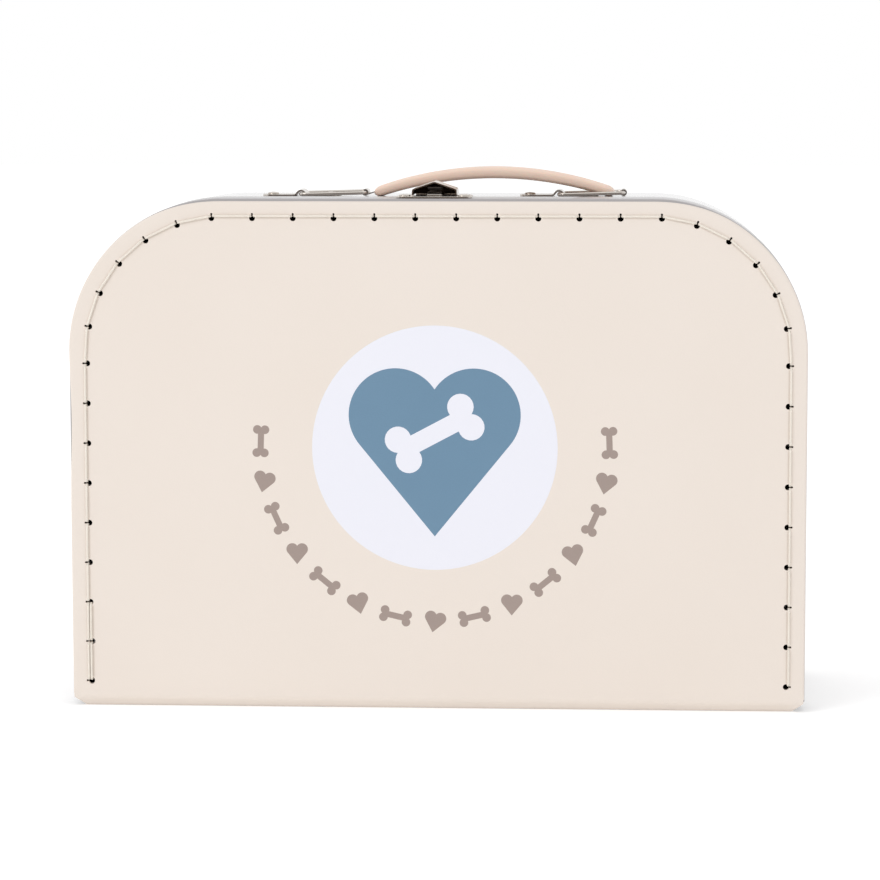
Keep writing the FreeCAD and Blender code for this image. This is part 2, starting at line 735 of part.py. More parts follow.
def make_bracket(name, x):
    """A riveted strip with an arch in the middle for the ring."""
    body = new_body(name)
    half = size("bracket_length") / 2
    thick = size("bracket_thickness")
    flare = size("bracket_flare")
    bore = ring_radius + size("ring_clearance")
    crown = bore + thick
    reach = crown + flare
    drop = thick + flare - ring_axis
    flare_x = (reach * reach - drop * drop).root()
    touch_x = flare_x * crown / reach
    touch_z = ring_axis + drop * crown / reach
    profile = new_sketch(body, "profile", "XZ_Plane")
    draw_outline(profile, [
        (-half, 0),
        (-bore, 0),
        (-bore, ring_axis, bore, -1),
        (0, ring_axis + bore, bore, -1),
        (bore, ring_axis),
        (bore, 0),
        (half, 0),
        (half, thick),
        (flare_x, thick, flare, -1),
        (touch_x, touch_z, crown, 1),
        (0, ring_axis + crown, crown, 1),
        (-touch_x, touch_z, flare, -1),
        (-flare_x, thick),
        (-half, thick),
    ])
    pad(body, "strip", profile, size("bracket_width"), both=True)
    spread = size("bracket_rivet_spacing") / 2
    cut_rivet_holes(body, "rivet_hole", thick, thick, [(-spread, 0), (spread, 0)])
    round_edges(body, "ends", size("bracket_end_radius"),
                lambda point: near(abs(point.x), half) and near(abs(point.y), size("bracket_width") / 2),
                upright=True)
    place(body, x, handle_y, base_top)


def make_ring(name, x):
    """A rectangular wire ring: four straight bars and four quarter bends."""
    half = size("ring_width") / 2
    bend = size("ring_bend")
    pieces = []
    for index, low in enumerate((0, ring_length)):
        bar = make_disc(f"{name}_short_{index}", ring_radius, (half - bend) * 2, low, bend - half, 0)
        bar.Placement.Rotation = FreeCAD.Rotation(X_AXIS, -QUARTER_TURN)
        pieces.append(bar)
    for index, side in enumerate((-1, 1)):
        bar = make_disc(f"{name}_long_{index}", ring_radius, ring_length - bend * 2, bend, half * side, 0)
        bar.Placement.Rotation = FreeCAD.Rotation(Y_AXIS, QUARTER_TURN)
        pieces.append(bar)
    far = ring_length - bend
    corners = ((far, half - bend), (bend, half - bend), (bend, bend - half), (far, bend - half))
    for index, (corner, across) in enumerate(corners):
        elbow = doc.addObject("Part::Torus", f"{name}_bend_{index}")
        bind(elbow, "Radius1", bend)
        bind(elbow, "Radius2", ring_radius)
        elbow.Angle3 = QUARTER_TURN
        elbow.Placement.Rotation = FreeCAD.Rotation(Z_AXIS, QUARTER_TURN * index)
        place(elbow, corner, across, 0)
        pieces.append(elbow)
    ring = doc.addObject("Part::MultiFuse", name)
    ring.Label = name
    ring.Shapes = pieces
    ring.Placement.Rotation = FreeCAD.Rotation(Y_AXIS, ring_tilt.value)
    bind(ring, "Placement.Rotation.Angle", ring_tilt)
    place(ring, x, handle_y, base_top + ring_axis)
    subparts.append(ring)


strap_low = -eye_radius
strap_high = -eye_bore
strap_sagitta = size("grip_rise") - (strap_low + strap_high) / 2
strap_radius = arch_radius(eye_x, strap_sagitta)


def draw_strap(body, name):
    """The bowed strap, seen from the front, between the undersides of its two eyes."""
    sketch = new_sketch(body, name, "XZ_Plane")
    draw_outline(sketch, [
        (-eye_x, strap_low, strap_radius, -1),
        (eye_x, strap_low),
        (eye_x, strap_high, strap_radius, 1),
        (-eye_x, strap_high),
    ])
    return sketch


def place_handle(body):
    place(body, handle_x + ring_run, handle_y, base_top + ring_axis + ring_climb)


def make_strap():
    body = new_body("handle_strap")
    pad(body, "bow", draw_strap(body, "bow_outline"), size("strap_width"), both=True)
    eyes = new_sketch(body, "eyes", "XZ_Plane")
    bores = new_sketch(body, "bores", "XZ_Plane")
    for side in (-1, 1):
        draw_circle(eyes, eye_x * side, 0, eye_radius)
        draw_circle(bores, eye_x * side, 0, eye_bore)
    pad(body, "eyes_pad", eyes, size("strap_width"), both=True)
    cut(body, "bores_cut", bores, size("strap_width") + overrun * 2, both=True)
    place_handle(body)


def make_grip():
    """The moulded grip, bowed like its strap and thinner towards its ends."""
    body = new_body("handle_grip")
    half = eye_x - size("grip_gap")
    fall = strap_radius - (strap_radius * strap_radius - half * half).root()
    end_z = size("grip_rise") - fall
    upper_end = end_z + size("grip_end") / 2
    lower_end = end_z - size("grip_end") / 2
    upper = arch_radius(half, size("grip_rise") + size("grip_middle") / 2 - upper_end)
    lower = arch_radius(half, size("grip_rise") - size("grip_middle") / 2 - lower_end)
    profile = new_sketch(body, "profile", "XZ_Plane")
    draw_outline(profile, [
        (-half, lower_end, lower, -1),
        (half, lower_end),
        (half, upper_end, upper, 1),
        (-half, upper_end),
    ])
    pad(body, "bar", profile, size("grip_width"), both=True)
    round_edges(body, "edges", size("grip_edge"), lambda point: True)
    cut(body, "slot_cut", draw_strap(body, "slot"), size("strap_width"), both=True)
    place_handle(body)


# Latch: hinge plate and pin, hasp and spring, catch
pin_radius = size("pin_diameter") / 2
knuckle_bore = pin_radius + size("pin_clearance")
knuckle_radius = knuckle_bore + size("knuckle_wall")
pin_z = base_top + size("knuckle_lift") + knuckle_radius
plate_half = size("latch_plate_width") / 2
plate_sheet = size("latch_plate_thickness")
hasp_half = size("hasp_width") / 2
hasp_foot = lid_top + size("hasp_lift")
hasp_ridge = hasp_foot + size("hasp_height")
hasp_back = pin_y - size("hasp_setback")
hasp_front = hasp_back - size("hasp_length")
hasp_sheet = size("hasp_sheet")
nose_top = lid_top + plate_sheet + size("nose_height")


def round_plate_corners(body, edges_y):
    half = number(plate_half)
    round_edges(body, "corners", size("latch_plate_corner"),
                lambda point: near(abs(point.x), half) and any(near(point.y, y) for y in edges_y),
                upright=True)


def make_hinge_plate():
    body = new_body("latch_hinge_plate")
    sketch = new_sketch(body, "outline", "XY_Plane", lift=base_top)
    back = pin_y + size("hinge_plate_depth")
    draw_rectangle(sketch, -plate_half, plate_half, pin_y, back)
    pad(body, "plate", sketch, plate_sheet)
    round_plate_corners(body, [pin_y, back])
    start = size("knuckle_middle") / 2 + size("knuckle_gap")
    for name, side in (("left", -1), ("right", 1)):
        knuckle = new_sketch(body, f"{name}_knuckle", "YZ_Plane", lift=start * side)
        draw_circle(knuckle, pin_y, pin_z, knuckle_radius)
        pad(body, f"{name}_knuckle_pad", knuckle, size("knuckle_side"), turned=side < 0)
    room = new_sketch(body, "knuckle_room", "YZ_Plane")
    draw_circle(room, pin_y, pin_z, knuckle_radius + size("knuckle_gap"))
    cut(body, "knuckle_room_cut", room, start * 2, both=True)
    bore = new_sketch(body, "bore", "YZ_Plane")
    draw_circle(bore, pin_y, pin_z, knuckle_bore)
    cut(body, "bore_cut", bore, size("latch_plate_width") + overrun * 2, both=True)
    cut_rivet_holes(body, "rivet_hole", base_top + plate_sheet, plate_sheet,
                    [(x - latch_x, y) for x, y in hinge_rivets])
    place(body, latch_x)


def make_pin():
    length = size("knuckle_middle") + size("knuckle_gap") * 2 + size("knuckle_side") * 2
    pin = make_disc("latch_pin", pin_radius, length, latch_x - length / 2, pin_y, pin_z)
    pin.Label = "latch_pin"
    pin.Placement.Rotation = FreeCAD.Rotation(Y_AXIS, QUARTER_TURN)
    subparts.append(pin)


def gable(half, foot, eaves, ridge):
    return [(-half, foot), (half, foot), (half, eaves), (0, ridge), (-half, eaves)]


def make_hasp():
    """A gabled cover, open to the front, with a tongue rolled round the pin."""
    body = new_body("latch_hasp")
    eaves = hasp_foot + size("hasp_eaves")
    slope = (hasp_ridge - eaves) / hasp_half
    drop = hasp_sheet * (1 + slope * slope).root()
    outside = new_sketch(body, "outside", "XZ_Plane", lift=-hasp_front)
    draw_outline(outside, gable(hasp_half, hasp_foot, eaves, hasp_ridge))
    pad(body, "cover", outside, size("hasp_length"), turned=True)
    round_edges(body, "ridge", size("hasp_ridge_radius"), lambda point: near(point.z, hasp_ridge))
    inside = new_sketch(body, "inside", "XZ_Plane", lift=overrun - hasp_front)
    inner = hasp_half - hasp_sheet
    inner_ridge = hasp_ridge - drop
    draw_outline(inside, gable(inner, hasp_foot - overrun, inner_ridge - slope * inner, inner_ridge))
    cut(body, "inside_cut", inside, size("hasp_length") - hasp_sheet + overrun)
    tongue = new_sketch(body, "tongue", "XY_Plane", lift=pin_z + knuckle_radius - hasp_sheet)
    reach = size("knuckle_middle") / 2
    draw_rectangle(tongue, -reach, reach, hasp_back - hasp_sheet, pin_y)
    pad(body, "tongue_pad", tongue, hasp_sheet)
    knuckle = new_sketch(body, "knuckle", "YZ_Plane")
    draw_circle(knuckle, pin_y, pin_z, knuckle_radius)
    pad(body, "knuckle_pad", knuckle, size("knuckle_middle"), both=True)
    bore = new_sketch(body, "bore", "YZ_Plane")
    draw_circle(bore, pin_y, pin_z, knuckle_bore)
    cut(body, "bore_cut", bore, size("knuckle_middle") + overrun * 2, both=True)
    place(body, latch_x)


def make_spring():
    """A leaf on the back of the hasp that dips towards the nose of the catch."""
    body = new_body("latch_spring")
    thin = size("spring_sheet")
    rear = hasp_back - hasp_sheet
    tip = rear - size("spring_reach")
    dip_low = nose_top + size("spring_clearance")
    leaf_low = dip_low + size("spring_dip")
    dip_y = tip + size("spring_dip_length")
    dip_end = dip_y + size("spring_dip_length")
    tab_low = leaf_low + thin - size("spring_tab")
    profile = new_sketch(body, "profile", "YZ_Plane")
    draw_outline(profile, [
        (rear, leaf_low + thin),
        (dip_end, leaf_low + thin),
        (dip_y, dip_low + thin),
        (tip, leaf_low + thin),
        (tip, leaf_low),
        (dip_y, dip_low),
        (dip_end, leaf_low),
        (rear - thin, leaf_low),
        (rear - thin, tab_low),
        (rear, tab_low),
    ])
    pad(body, "leaf", profile, size("spring_width"), both=True)
    place(body, latch_x)


def make_catch():
    body = new_body("latch_catch")
    plate_top = lid_top + plate_sheet
    sketch = new_sketch(body, "outline", "XY_Plane", lift=lid_top)
    draw_rectangle(sketch, -plate_half, plate_half, catch_front, catch_back)
    pad(body, "plate", sketch, plate_sheet)
    round_plate_corners(body, [catch_front, catch_back])
    nose = new_sketch(body, "nose", "YZ_Plane")
    nose_back = catch_back - size("nose_setback")
    nose_front = nose_back - size("nose_length")
    draw_outline(nose, [
        (nose_front, plate_top),
        (nose_back, plate_top),
        (nose_back, nose_top),
        (nose_front + size("nose_length") * NOSE_SLOPE_SHARE, nose_top),
        (nose_front, plate_top + size("nose_height") * NOSE_FRONT_SHARE),
    ])
    pad(body, "nose_pad", nose, size("nose_width"), both=True)
    cut_rivet_holes(body, "rivet_hole", plate_top, plate_sheet, [(x - latch_x, y) for x, y in catch_rivets])
    place(body, latch_x)


def check_document():
    """Stops if anything failed, came out empty or cut nothing."""
    doc.recompute()
    for item in doc.Objects:
        faults = [state for state in item.State if state in ("Invalid", "Error")]
        if faults:
            raise RuntimeError(f"{item.Name}: {faults}")
    for feature in cuts:
        if feature.Shape.Volume >= feature.BaseFeature.Shape.Volume:
            raise RuntimeError(f"{feature.Name} removes nothing")
    for item in subparts:
        if item.Shape.isNull() or not item.Shape.isValid() or not item.Shape.Solids:
            raise RuntimeError(f"{item.Label} has no sound shape")


def export_subparts():
    os.makedirs("parts", exist_ok=True)
    for item in subparts:
        item.Shape.exportStep(f"parts/{item.Label}.step")
        print(f"{item.Label}: {len(item.Shape.Solids)} solids, {item.Shape.Volume:.1f} mm3")


make_lid_panel()
make_lid_wall()
make_base_board()
make_base_wall()
make_thread("lid_thread", lid_face_inset, front_y, -1)
make_thread("lid_under_thread", lid_face_inset, front_y + board + wall, 1)
make_thread("base_thread", base_face_inset, back_y, 1)
make_thread("base_under_thread", base_face_inset, back_y - board - wall, -1)
for label, bracket_x in zip(("left", "right"), bracket_places):
    make_bracket(f"handle_bracket_{label}", bracket_x)
    make_ring(f"handle_ring_{label}", bracket_x)
make_rivets("bracket", bracket_rivets, base_top, size("bracket_thickness"))
make_strap()
make_grip()
make_hinge_plate()
make_rivets("hinge_plate", hinge_rivets, base_top, plate_sheet)
make_pin()
make_hasp()
make_spring()
make_catch()
make_rivets("catch", catch_rivets, lid_top, plate_sheet)
check_document()
export_subparts()
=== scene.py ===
import json
import math

import bmesh
import bpy
from mathutils import Matrix, Vector
from mathutils.geometry import tessellate_polygon


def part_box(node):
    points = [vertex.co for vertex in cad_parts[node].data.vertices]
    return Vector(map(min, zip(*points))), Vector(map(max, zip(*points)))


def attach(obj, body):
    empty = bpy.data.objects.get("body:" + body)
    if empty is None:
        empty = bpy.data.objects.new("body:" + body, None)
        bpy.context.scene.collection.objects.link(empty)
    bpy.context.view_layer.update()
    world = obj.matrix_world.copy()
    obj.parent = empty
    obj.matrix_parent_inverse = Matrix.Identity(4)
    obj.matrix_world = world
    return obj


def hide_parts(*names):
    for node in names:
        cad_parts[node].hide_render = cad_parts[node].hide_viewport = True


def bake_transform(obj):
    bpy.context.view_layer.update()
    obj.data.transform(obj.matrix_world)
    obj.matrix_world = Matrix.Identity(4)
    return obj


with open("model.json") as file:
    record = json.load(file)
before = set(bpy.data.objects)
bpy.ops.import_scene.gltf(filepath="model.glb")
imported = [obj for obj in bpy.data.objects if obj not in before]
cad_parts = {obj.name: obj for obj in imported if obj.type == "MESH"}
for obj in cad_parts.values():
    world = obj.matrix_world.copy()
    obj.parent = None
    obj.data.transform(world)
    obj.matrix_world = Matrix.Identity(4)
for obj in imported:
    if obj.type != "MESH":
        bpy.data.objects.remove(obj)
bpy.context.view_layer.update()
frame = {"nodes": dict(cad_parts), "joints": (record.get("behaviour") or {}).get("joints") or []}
mm = 0.001
scene = bpy.context.scene

panelLow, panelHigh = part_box("lid_panel")
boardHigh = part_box("base_board")[1]
lidWallLow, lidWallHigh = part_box("lid_wall")
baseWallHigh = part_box("base_wall")[1]
jointPlaces = {joint["name"]: Vector(joint["pos_m"]) for joint in frame["joints"]}
print("frame loaded")


def linear(hexText):
    channels = []
    for start in (0, 2, 4):
        value = int(hexText[start:start + 2], 16) / 255
        channels.append(value / 12.92 if value <= 0.04045 else ((value + 0.055) / 1.055) ** 2.4)
    return (*channels, 1)


def addNode(tree, kind, inputs=None, **settings):
    node = tree.nodes.new(kind)
    for name, value in settings.items():
        setattr(node, name, value)
    for key, value in (inputs or {}).items():
        if isinstance(value, bpy.types.NodeSocket):
            tree.links.new(value, node.inputs[key])
        else:
            node.inputs[key].default_value = value
    return node


def mathNode(tree, operation, *values):
    return addNode(tree, "ShaderNodeMath", dict(enumerate(values)), operation=operation).outputs[0]


def newMaterial(name):
    material = bpy.data.materials.new(name)
    material.use_nodes = True
    material.node_tree.nodes.clear()
    return material, material.node_tree


surfaceGrain = {
    "patchDetail": 2.0,
    "grainDetail": 3.0,
    "noiseLow": 0.3,
    "noiseHigh": 0.7,
    "shine": 0.5,
    "lightDepth": 1 * mm,
}


def noiseRange(tree, noise, low, high):
    return addNode(tree, "ShaderNodeMapRange", {
        "Value": noise.outputs["Fac"], "From Min": surfaceGrain["noiseLow"],
        "From Max": surfaceGrain["noiseHigh"], "To Min": low, "To Max": high}).outputs["Result"]


# A surface with two near tones in soft patches, a fine grain and a faint relief
def grainMaterial(name, look):
    material, tree = newMaterial(name)
    place = addNode(tree, "ShaderNodeTexCoord").outputs["Object"]
    stretch = addNode(tree, "ShaderNodeMapping", {
        "Vector": place, "Scale": look.get("stretch", (1, 1, 1))})
    patches = addNode(tree, "ShaderNodeTexNoise", {
        "Vector": place, "Scale": 1 / look["patch"], "Detail": surfaceGrain["patchDetail"]})
    grain = addNode(tree, "ShaderNodeTexNoise", {
        "Vector": stretch.outputs["Vector"], "Scale": 1 / look["grain"],
        "Detail": surfaceGrain["grainDetail"]})
    tone = addNode(tree, "ShaderNodeMix", {
        "Factor": patches.outputs["Fac"], "A": linear(look["colour"]), "B": linear(look["tone"])},
        data_type="RGBA")
    fleck = noiseRange(tree, grain, 1 - look["fleck"], 1.0)
    colour = addNode(tree, "ShaderNodeVectorMath", {
        0: tone.outputs["Result"], "Scale": fleck}, operation="SCALE")
    gloss = noiseRange(tree, grain, look["rough"] - look["roughSpread"],
                       look["rough"] + look["roughSpread"])
    relief = addNode(tree, "ShaderNodeBump", {
        "Height": grain.outputs["Fac"], "Strength": look["relief"], "Distance": look["grain"]})
    shine = look.get("specular", surfaceGrain["shine"])
    coat = look.get("coat", 0.0)
    if "varnish" in look:
        bareY, fullY = look["varnish"]
        depth = addNode(tree, "ShaderNodeSeparateXYZ", {"Vector": place}).outputs["Y"]
        shine, coat = [addNode(tree, "ShaderNodeMapRange", {
            "Value": depth, "From Min": bareY, "From Max": fullY,
            "To Max": most}).outputs["Result"] for most in (shine, coat)]
    surface = addNode(tree, "ShaderNodeBsdfPrincipled", {
        "Base Color": colour.outputs["Vector"], "Roughness": gloss,
        "Metallic": look.get("metallic", 0.0), "Normal": relief.outputs["Normal"],
        "Specular IOR Level": shine, "Sheen Weight": look.get("sheen", 0.0),
        "Coat Weight": coat, "Subsurface Weight": look.get("depth", 0.0),
        "Subsurface Scale": surfaceGrain["lightDepth"]})
    addNode(tree, "ShaderNodeOutputMaterial", {"Surface": surface.outputs["BSDF"]})
    return material


# Coated paperboard printed cream: warm, matt, with the faintest fibre grain
creamBoard = grainMaterial("coatedCreamBoard", {
    "colour": "f0e6dd", "tone": "ede2d8", "patch": 70 * mm, "grain": 0.5 * mm, "fleck": 0.02,
    "rough": 0.62, "roughSpread": 0.06, "relief": 0.05, "specular": 0.3})
# Varnished paperboard printed grey: it turns white with shine where it is seen at a low angle,
# and goes duller towards the sewn front edge, where the varnish has worn thin
greyBoard = grainMaterial("varnishedGreyBoard", {
    "colour": "b4b0b1", "tone": "aeaaab", "patch": 60 * mm, "grain": 0.5 * mm, "fleck": 0.025,
    "rough": 0.3, "roughSpread": 0.03, "relief": 0.0, "specular": 0.5, "coat": 1.0,
    "varnish": (-48 * mm, 10 * mm)})
# Painted shade beside a tight thread: the same cream paper a shade darker, standing in for the
# thread's shadow on the board
stitchShadeBoard = grainMaterial("pressedCreamBoard", {
    "colour": "e4d9cf", "tone": "e0d5ca", "patch": 12 * mm, "grain": 0.5 * mm, "fleck": 0.02,
    "rough": 0.62, "roughSpread": 0.06, "relief": 0.05, "specular": 0.3})
# Bare paper lining: off-white and quite dull inside the case
liningPaper = grainMaterial("liningPaper", {
    "colour": "ece7e1", "tone": "e5dfd8", "patch": 40 * mm, "grain": 0.4 * mm, "fleck": 0.05,
    "rough": 0.85, "roughSpread": 0.05, "relief": 0.12, "specular": 0.2})
# Cream cotton sewing thread: soft, a little fuzzy at its edges
cottonThread = grainMaterial("cottonThread", {
    "colour": "fff8ee", "tone": "fcf2e4", "patch": 6 * mm, "grain": 0.12 * mm, "fleck": 0.1,
    "rough": 0.8, "roughSpread": 0.08, "relief": 0.25, "specular": 0.2, "sheen": 0.3})
# Bright nickel plate: mirror-like with a warm cast and fine polishing lines
nickelPlate = grainMaterial("nickelPlate", {
    "colour": "d9d3cc", "tone": "cfc8c0", "patch": 8 * mm, "grain": 0.25 * mm, "fleck": 0.06,
    "stretch": (1, 8, 1), "rough": 0.2, "roughSpread": 0.07, "relief": 0.03, "metallic": 1.0})
# Drawn spring steel: darker and duller than the plated parts
springSteel = grainMaterial("springSteel", {
    "colour": "a8a6a4", "tone": "989694", "patch": 5 * mm, "grain": 0.2 * mm, "fleck": 0.08,
    "stretch": (8, 1, 1), "rough": 0.32, "roughSpread": 0.08, "relief": 0.05, "metallic": 1.0})
# Painted shade inside the pressed hasp: the steel coloured dark brown and nearly dull, where the
# cover's inside lies in shadow
haspInsideShade = grainMaterial("unplatedSteel", {
    "colour": "4a3a2c", "tone": "3c2f25", "patch": 4 * mm, "grain": 0.3 * mm, "fleck": 0.2,
    "rough": 0.45, "roughSpread": 0.1, "relief": 0.06, "metallic": 0.6})
# Moulded soft plastic in peach beige: satin with a fine moulded grain
gripPlastic = grainMaterial("mouldedPlastic", {
    "colour": "f7dcca", "tone": "f3d7c4", "patch": 20 * mm, "grain": 0.3 * mm, "fleck": 0.03,
    "rough": 0.45, "roughSpread": 0.06, "relief": 0.06, "specular": 0.45, "depth": 0.08})
# Opaque white printing ink: flat, matt and slightly cool against the cream board
whiteInk = grainMaterial("whiteInk", {
    "colour": "f1f1fa", "tone": "eff0f9", "patch": 50 * mm, "grain": 0.5 * mm, "fleck": 0.012,
    "rough": 0.6, "roughSpread": 0.05, "relief": 0.04, "specular": 0.3})
# Steel-blue printing ink: flat and matt, with the paper's grain showing through
blueInk = grainMaterial("blueInk", {
    "colour": "7394ae", "tone": "6f90aa", "patch": 30 * mm, "grain": 0.5 * mm, "fleck": 0.05,
    "rough": 0.55, "roughSpread": 0.05, "relief": 0.04, "specular": 0.3})
# Taupe printing ink: thin and matt, a soft grey-brown on the cream board
taupeInk = grainMaterial("taupeInk", {
    "colour": "ab9b93", "tone": "a6968f", "patch": 30 * mm, "grain": 0.5 * mm, "fleck": 0.05,
    "rough": 0.55, "roughSpread": 0.05, "relief": 0.04, "specular": 0.3})
print("materials ready")

meshCare = {
    "mergeGap": 0.0005 * mm,
    "sharpAngle": 40,
    "leastMitre": 0.3,
    "edgeSteps": 4,
    "landShare": 1.5,
}


def finishMesh(name, work, materials, sharpAngle=meshCare["sharpAngle"]):
    bmesh.ops.remove_doubles(work, verts=work.verts, dist=meshCare["mergeGap"])
    bmesh.ops.recalc_face_normals(work, faces=work.faces)
    mesh = bpy.data.meshes.new(name)
    for face in work.faces:
        face.smooth = True
    work.to_mesh(mesh)
    work.free()
    mesh.set_sharp_from_angle(angle=math.radians(sharpAngle))
    for material in materials:
        mesh.materials.append(material)
    piece = bpy.data.objects.new(name, mesh)
    scene.collection.objects.link(piece)
    return piece


def plainMesh(piece):
    scene.view_layers[0].update()
    shown = piece.evaluated_get(bpy.context.evaluated_depsgraph_get())
    mesh = bpy.data.meshes.new_from_object(shown)
    mesh.name = piece.name
    piece.modifiers.clear()
    piece.data = mesh
    return piece


def softenEdges(piece, width, segments=2):
    bevel = piece.modifiers.new("softEdges", "BEVEL")
    bevel.width = width
    bevel.segments = segments
    bevel.limit_method = "ANGLE"
    bevel.angle_limit = math.radians(meshCare["sharpAngle"])
    bevel.harden_normals = True
    return plainMesh(piece)


def mountPiece(piece, body, slotName, *nodes):
    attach(piece, body)
    if nodes:
        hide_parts(*nodes)


def arcPoints(centre, radius, start, end, steps):
    points = []
    for step in range(steps + 1):
        angle = math.radians(start + (end - start) * step / steps)
        points.append((centre[0] + radius * math.cos(angle),
                       centre[1] + radius * math.sin(angle)))
    return points


# How far and which way each corner of a closed loop moves when the loop grows by one
def loopNormals(loop):
    normals = []
    for index, point in enumerate(loop):
        before = Vector(point) - Vector(loop[index - 1])
        after = Vector(loop[(index + 1) % len(loop)]) - Vector(point)
        first = Vector((before.y, -before.x)).normalized()
        second = Vector((after.y, -after.x)).normalized()
        middle = (first + second).normalized()
        normals.append(middle / max(middle.dot(first), meshCare["leastMitre"]))
    return normals


# A flat board in the x-z plane: the first loop is its outline, the others its holes
def addPlate(work, loops, front, back, edges, backMaterial=0):
    caps = []
    for loop, edge in zip(loops, edges):
        normals = loopNormals(loop)
        profile = [(edge * meshCare["landShare"], front)]
        for step in range(meshCare["edgeSteps"] + 1):
            angle = math.radians(90 * step / meshCare["edgeSteps"])
            depth = math.copysign(edge * (1 - math.cos(angle)), back - front)
            profile.append((edge * (1 - math.sin(angle)), front + depth))
        profile.append((0, back))
        rings = []
        for inset, place in profile:
            rings.append([
                work.verts.new((point[0] - normal.x * inset, place, point[1] - normal.y * inset))
                for point, normal in zip(loop, normals)])
        for low, high in zip(rings, rings[1:]):
            for index in range(len(loop)):
                work.faces.new((low[index - 1], low[index], high[index], high[index - 1]))
        caps.append((rings[0], rings[-1]))
    for end in (0, 1):
        rims = [cap[end] for cap in caps]
        corners = [vertex for rim in rims for vertex in rim]
        flat = [[Vector((vertex.co.x, vertex.co.z, 0)) for vertex in rim] for rim in rims]
        for triangle in tessellate_polygon(flat):
            face = work.faces.new([corners[index] for index in triangle])
            face.material_index = backMaterial if end else 0


# A bent strip of sheet: the path of its middle line, and its half width at each point of the path
def addSheet(work, path, thickness, halfWidth, toWorld, innerMaterial=0):
    rows = []
    for index, point in enumerate(path):
        ahead = Vector(path[min(index + 1, len(path) - 1)])
        behind = Vector(path[max(index - 1, 0)])
        along = (ahead - behind).normalized()
        side = Vector((-along.y, along.x)) * thickness / 2
        half = halfWidth(index)
        rows.append([
            work.verts.new(toWorld(point[0] + side.x * face, point[1] + side.y * face, half * end))
            for face, end in ((1, -1), (1, 1), (-1, 1), (-1, -1))])
    for low, high in zip(rows, rows[1:]):
        for corner in range(4):
            face = work.faces.new((low[corner - 1], low[corner], high[corner], high[corner - 1]))
            face.material_index = innerMaterial if corner == 3 else 0
    work.faces.new(rows[0])
    work.faces.new(rows[-1])


caseShape = {
    "wallCorner": 62.5 * mm,
    "arcSteps": 40,
    "boardThickness": 1.5 * mm,
    "lidEdge": 0.9 * mm,
    "baseEdge": 0.6 * mm,
    "holeEdge": 0.08 * mm,
    "faceGrow": 0.7 * mm,
    "growFade": 30,
    "bowHeight": 118 * mm,
    "bowHalf": 18 * mm,
    "bowSteps": 24,
    "stripHeight": 3.9 * mm,
    "stripInset": 4.8 * mm,
    "foldBend": 3.5 * mm,
    "foldSkin": 0.1 * mm,
    "foldProud": 0.02 * mm,
    "foldReach": 3.4 * mm,
    "foldGap": 1.5 * mm,
    "footBend": 1.2 * mm,
    "bendShare": 0.41,
    "bendSteps": 6,
    "backTuck": 0.2 * mm,
    "creaseSteps": 10,
    "creaseInset": 0.3 * mm,
    "creaseSharp": 60,
    "blendShare": 0.75,
}
sewing = {
    "inset": 6.8 * mm,
    "sideCount": 9,
    "sideFoot": 10.8 * mm,
    "sideGap": 4.5 * mm,
    "cornerCount": 5,
    "cornerStart": 18.5,
    "cornerStep": 15.1,
    "topCount": 12,
    "topReach": 3.35 * mm,
    "flange": 1 * mm,
    "holeRadius": 1.25 * mm,
    "holeSteps": 14,
    "neck": 0.3 * mm,
    "nickRadius": 0.45 * mm,
    "nickOut": 1.62 * mm,
    "tightRadius": 0.75 * mm,
    "tightShift": 0.35 * mm,
    "tightSteps": 16,
    "threadOut": 0.9 * mm,
    "threadRadius": 0.525 * mm,
    "legPlace": 0.72 * mm,
    "legDepth": 2.0 * mm,
    "legBend": ((0, -0.7 * mm), (0.06 * mm, -0.1 * mm)),
    "riseShares": ((0.42 * mm, 0.72), (1.2 * mm, 0.95), (3 * mm, 1.02)),
    "threadSides": 12,
    "twistPitch": 2.4 * mm,
    "ringSpacing": 0.5 * mm,
    "strands": 3,
    "strandDepth": 0.08,
    "strandCore": 0.93,
    "doubled": (0, 1),
    "doubleStep": 1.15 * mm,
    "pulled": {0: (-0.25 * mm, 1.15), 1: (-0.7 * mm, 1)},
}


def archLoop(half, top, radius, foot):
    loop = [(-half, foot), (half, foot)]
    loop += arcPoints((half - radius, top - radius), radius, 0, 90, caseShape["arcSteps"])
    loop += arcPoints((radius - half, top - radius), radius, 90, 180, caseShape["arcSteps"])
    return loop


# Holes along the arch from the lower left round to the lower right, each with its outward direction
def sewingHoles(half, top, radius):
    line = half - sewing["inset"]
    bend = radius - sewing["inset"]
    centreX = half - radius
    centreZ = top - radius
    sideTop = centreZ - sewing["sideGap"]
    side = []
    for index in range(sewing["sideCount"]):
        share = index / (sewing["sideCount"] - 1)
        height = sewing["sideFoot"] + (sideTop - sewing["sideFoot"]) * share
        side.append((Vector((line, height)), Vector((1, 0))))
    for index in reversed(range(sewing["cornerCount"])):
        angle = math.radians(sewing["cornerStart"] + sewing["cornerStep"] * index)
        outward = Vector((math.sin(angle), math.cos(angle)))
        side.append((Vector((centreX, centreZ)) + outward * bend, outward))
    reach = centreX + sewing["topReach"]
    row = []
    for index in range(sewing["topCount"]):
        across = 2 * reach * index / (sewing["topCount"] - 1) - reach
        row.append((Vector((across, top - sewing["inset"])), Vector((0, 1))))
    left = [(Vector((-place.x, place.y)), Vector((-out.x, out.y))) for place, out in side]
    return left + row + side[::-1]


